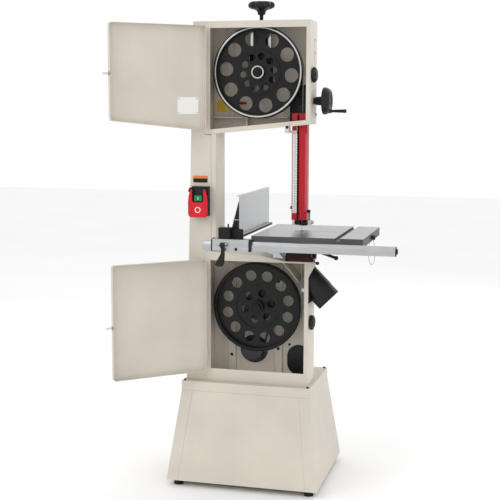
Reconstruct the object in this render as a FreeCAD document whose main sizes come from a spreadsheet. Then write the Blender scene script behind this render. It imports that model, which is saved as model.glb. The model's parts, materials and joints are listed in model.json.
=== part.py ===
import FreeCAD, Part
import math
import os
import sys

import Sketcher
from FreeCAD import Placement, Rotation, Vector

# A 14-inch steel-framed band saw on a closed, flared stand.
# Origin: on the floor, midway between the four feet. +X is the operator's right, -Y the front, +Z up.
# The frame's front plane is at front_y; both wheels turn about axes along Y.

SIZES = {
    # stand
    "foot_height": 25, "foot_radius": 19, "stand_top_z": 410, "rim_height": 38, "stand_sheet": 2,
    "stand_left": -260, "stand_right": 258, "stand_front": -184, "stand_back": 182,
    "base_left": -300, "base_right": 303, "base_front": -260, "base_back": 260,
    "corner_flange": 45, "floor_flange": 45, "seam": 0.3,
    # frame: column, throat and the two wheel cabinets
    "front_y": -150, "back_y": -25, "wall": 3, "frame_top_z": 1809,
    "column_foot_left": -250, "column_top_left": -217, "cabinet_left": -172, "cabinet_right": 241,
    "throat_seam_x": -147, "throat_x": -127, "groove": 1.2,
    "upper_left_z": 1379, "upper_right_z": 1421, "upper_strip": 18,
    "opening_left": -150, "opening_right": 225, "upper_opening_top": 1783,
    "lower_left_top": 928, "lower_mid_top": 916, "lower_mid_x": 58, "lower_right_top": 898,
    "lower_slope_x": 146,
    "lower_opening_top": 891, "lower_opening_bottom": 459, "wing_x": 270, "wing_z": 838,
    # wheels, blade and drive
    "wheel_x": 25, "lower_wheel_z": 703, "upper_wheel_z": 1618, "wheel_y": -88, "wheel_width": 28,
    "wheel_radius": 177, "tyre_thickness": 4, "rim_thickness": 9, "web_thickness": 8, "hub_radius": 25,
    "hub_front": -101, "hub_back": -58, "axle_radius": 10, "running_gap": 0.3, "fit": 0.05,
    "upper_big_hole": 27, "upper_big_circle": 129, "upper_big_angle": -5.5,
    "upper_small_hole": 13, "upper_small_circle": 61, "upper_small_angle": 8,
    "lower_big_hole": 21.5, "lower_big_circle": 126, "lower_big_angle": 13,
    "lower_small_hole": 15.5, "lower_small_circle": 54, "lower_small_angle": 13,
    "blade_thickness": 0.7, "blade_width": 12.7, "blade_front": -97,
    "wheel_pulley_radius": 56, "motor_pulley_radius": 38, "belt_thickness": 4, "belt_width": 12,
    "belt_y": -50, "motor_x": -3, "motor_z": 520, "motor_hole_radius": 57, "motor_radius": 84,
    "motor_length": 205,
    "bearing_radius": 18, "bearing_width": 9,
    # tension and tracking
    "tension_y": -42, "tension_screw_radius": 7, "carriage_half_width": 34, "carriage_half_height": 46,
    "carriage_front": -54, "carriage_back": -31, "slide_bar_width": 10, "slide_travel": 20,
    "tension_wheel_z": 1857, "tension_wheel_height": 30, "tension_wheel_radius": 53,
    "tracking_z": 1575, "tracking_radius": 5, "tracking_knob_radius": 26,
    # blade guide post and guides
    "post_left": 190, "post_right": 214, "post_front": -68, "post_back": -46, "post_bottom": 1056,
    "post_top": 1524, "guard_left": 167, "guard_right": 227, "guard_front": -124,
    "guard_back": -91, "guard_sheet": 2, "guard_bottom": 1056, "guard_top": 1462, "guide_bottom": 1029,
    "pinion_y": -78.3, "pinion_z": 1509, "pinion_radius": 10, "crank_shaft_radius": 6,
    "crank_hub_end": 276, "crank_wheel_end": 313, "crank_wheel_radius": 51.5, "crank_grip_end": 367,
    "crank_grip_radius": 6, "crank_offset": 38,
    # table, trunnions and rail
    "table_left": 52, "table_right": 472, "table_front": -295, "table_back": 133, "table_top": 1010,
    "table_edge": 32, "table_plate": 12, "rib_width": 10, "insert_radius": 32, "insert_thickness": 3,
    "insert_slot": 8, "kerf": 2.4, "mitre_left": 367, "mitre_width": 19.2, "mitre_depth": 9.6,
    "trunnion_radius": 95, "trunnion_half": 50, "trunnion_width": 22, "trunnion_front_y": -143,
    "trunnion_rear_y": -57, "rail_left": -107, "rail_right": 600, "rail_front": -385, "rail_back": -365,
    "rail_bottom": 963, "rail_top": 997, "bracket_thickness": 5,
    # fence
    "carriage_left": -71, "carriage_right": 68, "fence_left": 20, "fence_right": 23, "fence_front": -350,
    "fence_back": 107, "fence_height": 152, "fence_lip": 10, "lift": 1, "cam_x": -27, "cam_z": 985,
    # doors
    "hinge_x": -162, "hinge_y": -163, "hinge_radius": 4, "door_left": -157, "door_right": 231,
    "door_depth": 22, "door_sheet": 1.5, "door_gap": 0.6, "door_corner": 10, "door_open": 138,
    "upper_door_top": 1791, "upper_door_left": 1394, "upper_door_right": 1434,
    "lower_door_top": 896, "lower_door_bottom": 453, "upper_latch_z": 1606, "lower_latch_z": 658,
    "latch_y": -115, "latch_radius": 30, "latch_width": 21, "pin_radius": 3, "pin_length": 24,
    # switch
    "switch_left": -218, "switch_right": -151, "switch_bottom": 1066, "switch_top": 1180,
    "switch_front": -174,
    "paddle_left": -229, "paddle_right": -150, "paddle_bottom": 1061, "paddle_top": 1170,
    "paddle_front": -189,
    "paddle_back": -183, "window_left": -213, "window_right": -167, "window_bottom": 1120, "paddle_arm": 9,
    "paddle_corner": 11,
    "button_left": -205, "button_right": -173, "button_bottom": 1124, "button_top": 1146,
    # dust ports
    "port_radius": 50, "port_wall": 3, "rear_port_x": 180, "rear_port_z": 485, "rear_port_end": 45,
    "sleeve_length": 42, "blank_radius": 46, "blank_rise": 15,
    "chute_y": -90, "chute_z": 814, "chute_length": 100, "chute_flange_top": 890,
    "chute_flange_bottom": 737,
    "chute_flange_half": 57, "deflector_x": 133, "deflector_top": 887,
}

doc = FreeCAD.newDocument("band_saw")
sheet = doc.addObject("Spreadsheet::Sheet", "sizes")


class Size:
    """A length or an angle that carries its number and the sheet expression it came from."""

    def __init__(self, number, text=None):
        self.number = float(number)
        self.text = text or repr(round(self.number, 9))

    def join(self, sign, other, number):
        return Size(number, f"({self.text} {sign} {other.text})")

    def __add__(self, other):
        other = as_size(other)
        return self.join("+", other, self.number + other.number)

    def __sub__(self, other):
        other = as_size(other)
        return self.join("-", other, self.number - other.number)

    def __mul__(self, other):
        other = as_size(other)
        return self.join("*", other, self.number * other.number)

    def __truediv__(self, other):
        other = as_size(other)
        return self.join("/", other, self.number / other.number)

    def __radd__(self, other):
        return as_size(other) + self

    def __rsub__(self, other):
        return as_size(other) - self

    def __rmul__(self, other):
        return as_size(other) * self

    def __neg__(self):
        return Size(-self.number, f"(-1 * {self.text})")


def as_size(value):
    return value if isinstance(value, Size) else Size(value)


class Sheet:
    """Every alias of the sheet, as an attribute."""


at = Sheet()
for row, (alias, number) in enumerate(SIZES.items(), 1):
    sheet.set(f"A{row}", alias)
    sheet.set(f"B{row}", str(number))
    sheet.setAlias(f"B{row}", alias)
    setattr(at, alias, Size(number, f"sizes.{alias}"))
doc.recompute()

X_AXIS = Rotation(Vector(0, 1, 0), 90)
Y_AXIS = Rotation(Vector(1, 0, 0), -90)
Z_AXIS = Rotation()
NODES = []


def bind(item, prop, value):
    """Set a property to a size and tie it to the sheet."""
    item.setExpression(prop, as_size(value).text)


def place(item, x, y, z, turn=Z_AXIS):
    item.Placement = Placement(Vector(0, 0, 0), turn)
    for letter, value in zip("xyz", (x, y, z)):
        bind(item, f"Placement.Base.{letter}", value)
    return item


def node(name, item):
    """Name a finished sub-part; its label names its file."""
    item.Label = name
    NODES.append(item)
    return item


# ---------------------------------------------------------------- primitives and booleans

def box(x, y, z, name="Block"):
    """A block between two corners, each given as (low, high) pairs."""
    item = doc.addObject("Part::Box", name)
    for prop, (low, high) in zip(("Length", "Width", "Height"), (x, y, z)):
        bind(item, prop, as_size(high) - low)
    return place(item, x[0], y[0], z[0])


def rod(radius, start, end, x, y, z, turn=Z_AXIS, name="Rod"):
    """A cylinder along one axis; the coordinate on that axis is the start of its run."""
    item = doc.addObject("Part::Cylinder", name)
    bind(item, "Radius", radius)
    bind(item, "Height", as_size(end) - start)
    return place(item, x, y, z, turn)


def rod_x(radius, x, y, z):
    return rod(radius, x[0], x[1], x[0], y, z, X_AXIS)


def rod_y(radius, x, y, z):
    return rod(radius, y[0], y[1], x, y[0], z, Y_AXIS)


def rod_z(radius, x, y, z):
    return rod(radius, z[0], z[1], x, y, z[0], Z_AXIS)


def cone_z(bottom, top, x, y, z):
    item = doc.addObject("Part::Cone", "Cone")
    bind(item, "Radius1", bottom)
    bind(item, "Radius2", top)
    bind(item, "Height", as_size(z[1]) - z[0])
    return place(item, x, y, z[0])


def cone_x(start, end, x, y, z):
    item = doc.addObject("Part::Cone", "Cone")
    bind(item, "Radius1", start)
    bind(item, "Radius2", end)
    bind(item, "Height", as_size(x[1]) - x[0])
    return place(item, x[0], y, z, X_AXIS)


def fuse(*items):
    item = doc.addObject("Part::MultiFuse", "Join")
    item.Shapes = list(items)
    item.Refine = True
    return item


def cut(base, *tools):
    item = doc.addObject("Part::Cut", "Cut")
    item.Base = base
    item.Tool = tools[0] if len(tools) == 1 else fuse(*tools)
    return item


def group(*items):
    """Separate solids that are handled as one sub-part."""
    item = doc.addObject("Part::Compound", "Group")
    item.Links = list(items)
    return item


def common(base, tool):
    item = doc.addObject("Part::Common", "Common")
    item.Base = base
    item.Tool = tool
    return item


def frustum(low, high, z):
    """A block whose bottom and top rectangles differ; each is (x low, x high, y low, y high)."""
    item = doc.addObject("Part::Wedge", "Frustum")
    for prop, value in (("Xmin", low[0]), ("Xmax", low[1]), ("Zmin", low[2]), ("Zmax", low[3]),
                        ("X2min", high[0]), ("X2max", high[1]), ("Z2min", high[2]), ("Z2max", high[3]),
                        ("Ymin", z[0]), ("Ymax", z[1])):
        bind(item, prop, value)
    # the wedge tapers along its own Y, so it is stood up, and its Z runs to -Y
    item.Placement = Placement(Vector(0, 0, 0), Rotation(Vector(1, 0, 0), 90))
    return item


# ---------------------------------------------------------------- bodies, sketches and features

def new_body(name):
    return doc.addObject("PartDesign::Body", name)


def plane_of(body, role):
    return next(item for item in body.Origin.OriginFeatures if item.Role == role)


def sketch_on(body, role, offset):
    """A sketch parallel to an origin plane. XZ: x right, y up, normal to the front."""
    item = body.newObject("Sketcher::SketchObject", "Sketch")
    item.AttachmentSupport = (plane_of(body, role), [""])
    item.MapMode = "FlatFace"
    bind(item, "AttachmentOffset.Base.z", offset)
    return item


def pin_point(item, geometry, end, x, y):
    """Hold one point of a sketch at sheet distances from the sketch origin."""
    for kind, value in (("DistanceX", x), ("DistanceY", y)):
        value = as_size(value)
        index = item.addConstraint(Sketcher.Constraint(kind, -1, 1, geometry, end, value.number))
        item.setExpression(f"Constraints[{index}]", value.text)


def outline(item, points):
    """A closed outline of straight lines through the points."""
    spots = [Vector(as_size(x).number, as_size(y).number, 0) for x, y in points]
    first = item.GeometryCount
    for here, there in zip(spots, spots[1:] + spots[:1]):
        item.addGeometry(Part.LineSegment(here, there), False)
    for k in range(len(spots)):
        after = first + (k + 1) % len(spots)
        item.addConstraint(Sketcher.Constraint("Coincident", first + k, 2, after, 1))
        pin_point(item, first + k, 1, *points[k])
    return item


def ring(item, radius, x=0, y=0):
    """A circle in a sketch."""
    radius, x, y = as_size(radius), as_size(x), as_size(y)
    centre = Vector(x.number, y.number, 0)
    geometry = item.addGeometry(Part.Circle(centre, Vector(0, 0, 1), radius.number), False)
    index = item.addConstraint(Sketcher.Constraint("Radius", geometry, radius.number))
    item.setExpression(f"Constraints[{index}]", radius.text)
    pin_point(item, geometry, 3, x, y)
    return item


def feature(body, kind, sketch, length):
    item = body.newObject(kind, kind.split("::")[1])
    item.Profile = sketch
    bind(item, "Length", length)
    return item


def pad_y(body, points, y):
    """A plate with its outline in X and Z, from y[0] at the front to y[1] at the back."""
    sketch = outline(sketch_on(body, "XZ_Plane", -as_size(y[1])), points)
    return feature(body, "PartDesign::Pad", sketch, as_size(y[1]) - y[0])


def pad_x(body, points, x):
    """A plate with its outline in Y and Z, from x[0] to x[1]."""
    sketch = outline(sketch_on(body, "YZ_Plane", x[0]), points)
    return feature(body, "PartDesign::Pad", sketch, as_size(x[1]) - x[0])


def pad_z(body, points, z):
    """A plate with its outline in X and Y, from z[0] up to z[1]."""
    sketch = outline(sketch_on(body, "XY_Plane", z[0]), points)
    return feature(body, "PartDesign::Pad", sketch, as_size(z[1]) - z[0])


def pocket_y(body, points, y):
    """Remove an outline in X and Z from y[1] forward to y[0]."""
    sketch = outline(sketch_on(body, "XZ_Plane", -as_size(y[0])), points)
    return check_cut(body, feature(body, "PartDesign::Pocket", sketch, as_size(y[1]) - y[0]))


def pocket_z(body, points, z):
    """Remove an outline in X and Y from z[1] down to z[0]."""
    sketch = outline(sketch_on(body, "XY_Plane", z[1]), points)
    return check_cut(body, feature(body, "PartDesign::Pocket", sketch, as_size(z[1]) - z[0]))


def check_cut(body, item):
    """A cut must take something away."""
    before = item.BaseFeature
    doc.recompute()
    if not item.Shape.Volume < before.Shape.Volume - 1:
        sys.exit(f"{body.Name}: {item.Name} removes nothing")
    return item


def rectangle(x, z):
    return [(x[0], z[0]), (x[1], z[0]), (x[1], z[1]), (x[0], z[1])]


# ---------------------------------------------------------------- stand

def build_stand():
    low = (at.base_left, at.base_right, at.base_front, at.base_back)
    high = (at.stand_left, at.stand_right, at.stand_front, at.stand_back)
    inset = (1, -1, 1, -1)
    skirt_z = at.stand_top_z - at.rim_height
    tall = (at.foot_height, skirt_z)

    def shrink(corners, amount):
        return tuple(corner + amount * sign for corner, sign in zip(corners, inset))

    def shell():
        """Four sloping walls with a floor flange turned inwards at the bottom."""
        inner = frustum(shrink(low, at.stand_sheet), shrink(high, at.stand_sheet),
                        (at.foot_height + at.stand_sheet, skirt_z + 1))
        hole = shrink(low, at.floor_flange)
        return cut(frustum(low, high, tall), inner,
                   box(hole[:2], hole[2:], (at.foot_height - 1, at.foot_height + at.wall)))

    def middle(margin):
        """The band between the corner flanges, running through the front and the back."""
        side = at.corner_flange + margin
        return frustum((low[0] + side, low[1] - side, low[2] - 9, low[3] + 9),
                       (high[0] + side, high[1] - side, high[2] - 9, high[3] + 9),
                       (at.foot_height - 1, skirt_z + 1))

    wide_x, wide_y = (low[0] - 9, low[1] + 9), (low[2] - 9, low[3] + 9)
    wide_z = (at.foot_height - 2, skirt_z + 2)
    node("stand_front_panel", common(common(shell(), middle(at.seam)), box(wide_x, (wide_y[0], 0), wide_z)))
    node("stand_rear_panel", common(common(shell(), middle(at.seam)), box(wide_x, (0, wide_y[1]), wide_z)))
    node("stand_side_panels", cut(shell(), middle(0)))

    top_low = shrink(high, at.stand_sheet)
    top = box(high[:2], high[2:], (skirt_z, at.stand_top_z))
    node("stand_top", cut(top, box(top_low[:2], top_low[2:], (skirt_z - 1, at.stand_top_z - at.wall))))

    feet, bolts = [], []
    foot_inset, bolt_inset = 38, 11
    for x_low, x_high, sign_x in ((low[0], high[0], 1), (low[1], high[1], -1)):
        for y_low, y_high, sign_y in ((low[2], high[2], 1), (low[3], high[3], -1)):
            foot_x, foot_y = x_low + foot_inset * sign_x, y_low + foot_inset * sign_y
            feet.append(cone_z(at.foot_radius, at.foot_radius - 3, foot_x, foot_y, (0, at.foot_height)))
            bolt_x, bolt_y = x_high + bolt_inset * sign_x, y_high + bolt_inset * sign_y
            bolts.append(rod_z(5, bolt_x, bolt_y, (at.stand_top_z, at.stand_top_z + 5)))
    node("rubber_feet", fuse(*feet))
    node("stand_bolts", fuse(*bolts))


# ---------------------------------------------------------------- frame

def lower_edge_z(x):
    """Height of the upper cabinet's sloping underside."""
    slope = (at.upper_right_z - at.upper_left_z) / (at.cabinet_right - at.cabinet_left)
    return at.upper_left_z + slope * (x - at.cabinet_left)


def slant_left(z):
    """The column's left edge, which leans in towards the top."""
    lean = (at.column_top_left - at.column_foot_left) / (at.frame_top_z - at.stand_top_z)
    return at.column_foot_left + lean * (z - at.stand_top_z)


def build_column():
    """A closed box from the stand to the top, wider between the two cabinets."""
    def profile(thick):
        inner_left, top, bottom = at.cabinet_left - thick, at.frame_top_z - thick, at.stand_top_z + thick
        middle_low, middle_high = at.lower_left_top + thick, lower_edge_z(at.cabinet_left) - thick
        right = at.throat_seam_x - thick
        return [(slant_left(bottom) + thick, bottom), (inner_left, bottom), (inner_left, middle_low),
                (right, middle_low), (right, middle_high), (inner_left, middle_high), (inner_left, top),
                (slant_left(top) + thick, top)]

    body = new_body("Column")
    pad_y(body, profile(as_size(0)), (at.front_y, at.back_y))
    pocket_y(body, profile(at.wall), (at.front_y + at.wall, at.back_y - at.wall))
    # the left run of the blade passes down inside, through the steps above and below
    run = at.wheel_x - at.wheel_radius
    slot = [(run - 8, at.blade_front - 8), (at.throat_seam_x - at.wall, at.blade_front - 8),
            (at.throat_seam_x - at.wall, at.blade_front + 22), (run - 8, at.blade_front + 22)]
    pocket_z(body, slot, (at.lower_left_top - 1, at.upper_left_z + 1))
    node("column", body)

    # the throat wall, a shallow channel that stands a little behind the column's face
    z_low = at.lower_left_top
    throat = new_body("Throat")
    outline_points = [(at.throat_seam_x, z_low), (at.throat_x, z_low),
                      (at.throat_x, lower_edge_z(at.throat_x)),
                      (at.throat_seam_x, lower_edge_z(at.throat_seam_x))]
    pad_y(throat, outline_points, (at.front_y + at.groove, at.back_y))
    inner = rectangle((at.throat_seam_x - 1, at.throat_x - at.wall), (z_low + 12, at.upper_left_z - 8))
    pocket_y(throat, inner, (at.front_y + at.groove + at.wall, at.back_y - at.wall))
    node("throat_wall", throat)


def round_hole_y(body, radius, x, z, y):
    sketch = ring(sketch_on(body, "XZ_Plane", -as_size(y[0])), radius, x, z)
    return check_cut(body, feature(body, "PartDesign::Pocket", sketch, as_size(y[1]) - y[0]))


def round_hole_x(body, radius, y, z, x):
    sketch = ring(sketch_on(body, "YZ_Plane", x[1]), radius, y, z)
    return check_cut(body, feature(body, "PartDesign::Pocket", sketch, as_size(x[1]) - x[0]))


def build_upper_cabinet():
    left, right, top, wall = at.cabinet_left, at.cabinet_right, at.frame_top_z, at.wall
    body = new_body("UpperCabinet")
    pad_y(body, [(left, at.upper_left_z), (right, at.upper_right_z), (right, top), (left, top)],
          (at.front_y, at.back_y))
    inner = [(left + wall, lower_edge_z(left + wall) + wall),
             (right - wall, lower_edge_z(right - wall) + wall),
             (right - wall, top - wall), (left + wall, top - wall)]
    pocket_y(body, inner, (at.front_y + wall, at.back_y - wall))
    strip = at.upper_strip
    opening = [(at.opening_left, lower_edge_z(at.opening_left) + strip),
               (at.opening_right, lower_edge_z(at.opening_right) + strip),
               (at.opening_right, at.upper_opening_top), (at.opening_left, at.upper_opening_top)]
    pocket_y(body, opening, (at.front_y, at.front_y + wall))
    # the guide post, the guard and the blade pass through the underside
    slot = [(at.guard_left - 6, at.guard_front - 4), (at.guard_right + 5, at.guard_front - 4),
            (at.guard_right + 5, at.post_back + 6), (at.guard_left - 6, at.post_back + 6)]
    pocket_z(body, slot, (at.upper_left_z, at.upper_right_z + 8))
    # the left run of the blade drops into the throat wall's slot
    side = [(at.wheel_x - at.wheel_radius - 8, at.blade_front - 8),
            (at.wheel_x - at.wheel_radius + 10, at.blade_front - 8),
            (at.wheel_x - at.wheel_radius + 10, at.blade_front + 22),
            (at.wheel_x - at.wheel_radius - 8, at.blade_front + 22)]
    pocket_z(body, side, (at.upper_left_z - 1, at.upper_left_z + 12))
    round_hole_z(body, at.tension_screw_radius + at.running_gap, at.wheel_x, at.tension_y,
                 (top - wall, top))
    round_hole_x(body, at.crank_shaft_radius + at.running_gap, at.pinion_y, at.pinion_z,
                 (right - wall, right))
    round_hole_x(body, at.crank_shaft_radius + at.running_gap, at.latch_y, at.upper_latch_z,
                 (right - wall, right))
    track_reach = at.tracking_radius + at.running_gap
    pocket_y(body, rectangle((at.wheel_x - track_reach, at.wheel_x + track_reach),
                             (at.tracking_z - at.slide_travel - track_reach, at.tracking_z + track_reach)),
             (at.back_y - wall, at.back_y))
    node("upper_cabinet", body)


def round_hole_z(body, radius, x, y, z):
    sketch = ring(sketch_on(body, "XY_Plane", z[1]), radius, x, y)
    return check_cut(body, feature(body, "PartDesign::Pocket", sketch, as_size(z[1]) - z[0]))


def build_lower_cabinet():
    left, right, bottom, wall = at.cabinet_left, at.cabinet_right, at.stand_top_z, at.wall
    body = new_body("LowerCabinet")

    def crown(thick):
        """The stepped upper edge, from right to left."""
        return [(right - thick, at.lower_right_top - thick),
                (at.lower_slope_x - thick / 3, at.lower_right_top - thick),
                (at.lower_mid_x - thick / 3, at.lower_mid_top - thick),
                (left + thick, at.lower_left_top - thick)]

    pad_y(body, [(left, bottom), (right, bottom)] + crown(as_size(0)), (at.front_y, at.back_y))
    pocket_y(body, [(left + wall, bottom + wall), (right - wall, bottom + wall)] + crown(wall),
             (at.front_y + wall, at.back_y - wall))
    pocket_y(body, rectangle((at.opening_left, at.opening_right),
                             (at.lower_opening_bottom, at.lower_opening_top)),
             (at.front_y, at.front_y + wall))
    # a gusset flares out of the front plate at the top right corner
    pad_y(body, [(right, at.wing_z), (at.wing_x, at.lower_right_top - 6), (at.wing_x, at.lower_right_top),
                 (right, at.lower_right_top)], (at.front_y, at.front_y + wall))
    # a deflector beside the wheel throws the dust to the side port
    pad_y(body, [(at.deflector_x, at.deflector_top), (at.deflector_x + 61, at.deflector_top - 72),
                 (at.deflector_x + 64, at.deflector_top - 72), (at.deflector_x + 3, at.deflector_top)],
          (at.front_y + 30, at.back_y - wall))
    for x in (at.wheel_x + at.wheel_radius, at.wheel_x - at.wheel_radius):
        slot = [(x - 12, at.blade_front - 10), (x + 14, at.blade_front - 10),
                (x + 14, at.blade_front + 24), (x - 12, at.blade_front + 24)]
        pocket_z(body, slot, (at.lower_right_top - 8, at.lower_left_top + 1))
    round_hole_y(body, at.bearing_radius + 12, at.wheel_x, at.lower_wheel_z, (at.back_y - wall, at.back_y))
    round_hole_y(body, at.motor_hole_radius, at.motor_x, at.motor_z, (at.back_y - wall, at.back_y))
    round_hole_y(body, at.port_radius - at.port_wall, at.rear_port_x, at.rear_port_z,
                 (at.back_y - wall, at.back_y))
    round_hole_x(body, at.crank_shaft_radius + at.running_gap, at.latch_y, at.lower_latch_z,
                 (right - wall, right))
    window = [(at.chute_y - 46, at.chute_flange_bottom + 12),
              (at.chute_y + 46, at.chute_flange_bottom + 12),
              (at.chute_y + 46, at.chute_flange_top - 14), (at.chute_y - 46, at.chute_flange_top - 14)]
    sketch = outline(sketch_on(body, "YZ_Plane", right), window)
    check_cut(body, feature(body, "PartDesign::Pocket", sketch, wall))
    node("lower_cabinet", body)


# ---------------------------------------------------------------- wheels, blade and drive

def turned_wheel(name, z, step_radius, step_depth, bore, holes):
    """A spoked-hole band wheel: one turned profile, then two circles of holes."""
    body = new_body(name)
    body.Placement = Placement(Vector(0, 0, 0), Rotation(Vector(1, 0, 0), 90))
    for letter, value in zip("xyz", (at.wheel_x, at.wheel_y, z)):
        bind(body, f"Placement.Base.{letter}", value)
    half = at.wheel_width / 2
    rim_out = at.wheel_radius - at.tyre_thickness
    rim_in = rim_out - at.rim_thickness
    web_front, web_back = as_size(-4), -4 - at.web_thickness
    front, back = at.wheel_y - at.hub_front, at.wheel_y - at.hub_back
    step_front, step_back = web_front + step_depth, web_back + step_depth
    profile = [(bore, back), (at.hub_radius, back), (at.hub_radius, step_back), (step_radius, step_back),
               (step_radius, web_back), (rim_in, web_back), (rim_in, -half), (rim_out, -half),
               (rim_out, half),
               (rim_in, half), (rim_in, web_front), (step_radius + 3, web_front),
               (step_radius + 3, step_front),
               (at.hub_radius, step_front), (at.hub_radius, front), (bore, front)]
    sketch = outline(sketch_on(body, "XZ_Plane", 0), profile)
    turned = body.newObject("PartDesign::Revolution", "Turned")
    turned.Profile = sketch
    turned.ReferenceAxis = (plane_of(body, "Z_Axis"), [""])
    turned.Angle = 360
    doc.recompute()
    for radius, circle, angle, count in holes:
        turn = math.radians(angle.number)
        hole = ring(sketch_on(body, "XY_Plane", half), radius, circle * math.cos(turn),
                    circle * math.sin(turn))
        first = feature(body, "PartDesign::Pocket", hole, at.wheel_width * 2)
        check_cut(body, first)
        pattern = body.newObject("PartDesign::PolarPattern", "Holes")
        pattern.Originals = [first]
        pattern.Axis = (plane_of(body, "Z_Axis"), [""])
        pattern.Angle = 360
        pattern.Occurrences = count
        body.Tip = pattern
        doc.recompute()
    return body


def tyre(z):
    band = rod_y(at.wheel_radius, at.wheel_x,
                 (at.wheel_y - at.wheel_width / 2, at.wheel_y + at.wheel_width / 2), z)
    inside = rod_y(at.wheel_radius - at.tyre_thickness, at.wheel_x,
                   (at.wheel_y - at.wheel_width, at.wheel_y + at.wheel_width), z)
    return cut(band, inside)


def bearing(y, x, z):
    """A plain ring between the axle and its seat."""
    width = (y, y + at.bearing_width)
    wide = (y - 1, y + at.bearing_width + 1)
    return cut(rod_y(at.bearing_radius, x, width, z), rod_y(at.axle_radius + at.fit, x, wide, z))


def build_wheels():
    upper_holes = ((at.upper_big_hole, at.upper_big_circle, at.upper_big_angle, 10),
                   (at.upper_small_hole, at.upper_small_circle, at.upper_small_angle, 10))
    lower_holes = ((at.lower_big_hole, at.lower_big_circle, at.lower_big_angle, 12),
                   (at.lower_small_hole, at.lower_small_circle, at.lower_small_angle, 6))
    z = at.upper_wheel_z
    node("upper_wheel", turned_wheel("UpperWheel", z, at.upper_big_circle - 46, 3, at.bearing_radius,
                                     upper_holes))
    node("upper_tyre", tyre(z))
    node("upper_wheel_bearings", fuse(bearing(at.hub_front + 4, at.wheel_x, z),
                                      bearing(at.hub_back - at.bearing_width, at.wheel_x, z)))
    z = at.lower_wheel_z
    node("lower_wheel", turned_wheel("LowerWheel", z, at.lower_big_circle - 42, -5, at.axle_radius,
                                     lower_holes))
    node("lower_tyre", tyre(z))

    # the lower wheel is keyed to a shaft that turns in a housing on the back wall
    housing_back = at.back_y + 52
    shaft = fuse(rod_y(at.axle_radius, at.wheel_x, (at.hub_front, housing_back + 3), z),
                 rod_y(at.axle_radius + 7, at.wheel_x, (at.hub_front - 8, at.hub_front), z))
    flange = rod_y(at.bearing_radius + 22, at.wheel_x, (at.back_y, at.back_y + 6), z)
    barrel = rod_y(at.bearing_radius + 8, at.wheel_x, (at.back_y, housing_back), z)
    seat = rod_y(at.bearing_radius, at.wheel_x, (at.back_y - 1, housing_back + 1), z)
    node("lower_bearing_housing", group(cut(fuse(flange, barrel), seat),
                                        bearing(at.back_y + 2, at.wheel_x, z),
                                        bearing(housing_back - at.bearing_width - 2, at.wheel_x, z)))
    return shaft


def loop_plate(radius, low, high, y):
    """The stadium shape round two discs: low and high are (x, z, radius)."""
    thickness = radius
    faces = []
    for grow in (thickness.number, 0.0):
        (x1, z1, r1), (x2, z2, r2) = [(p[0].number, p[1].number, p[2].number + grow) for p in (low, high)]
        distance = math.hypot(x2 - x1, z2 - z1)
        along = math.atan2(z2 - z1, x2 - x1)
        spread = math.acos((r1 - r2) / distance)

        def spot(x, z, r, angle):
            return Vector(x + r * math.cos(angle), 0, z + r * math.sin(angle))

        left, right = along + spread, along - spread
        edges = [Part.Arc(spot(x1, z1, r1, left), spot(x1, z1, r1, along + math.pi),
                          spot(x1, z1, r1, right)),
                 Part.LineSegment(spot(x1, z1, r1, right), spot(x2, z2, r2, right)),
                 Part.Arc(spot(x2, z2, r2, right), spot(x2, z2, r2, along), spot(x2, z2, r2, left)),
                 Part.LineSegment(spot(x2, z2, r2, left), spot(x1, z1, r1, left))]
        faces.append(Part.Face(Part.Wire([edge.toShape() for edge in edges])))
    band = faces[0].cut(faces[1]).Faces[0]
    item = doc.addObject("Part::Feature", "Loop")
    item.Shape = band.extrude(Vector(0, y[1].number - y[0].number, 0))
    item.Placement = Placement(Vector(0, 0, 0), Rotation())
    bind(item, "Placement.Base.y", y[0])
    return item


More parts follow.
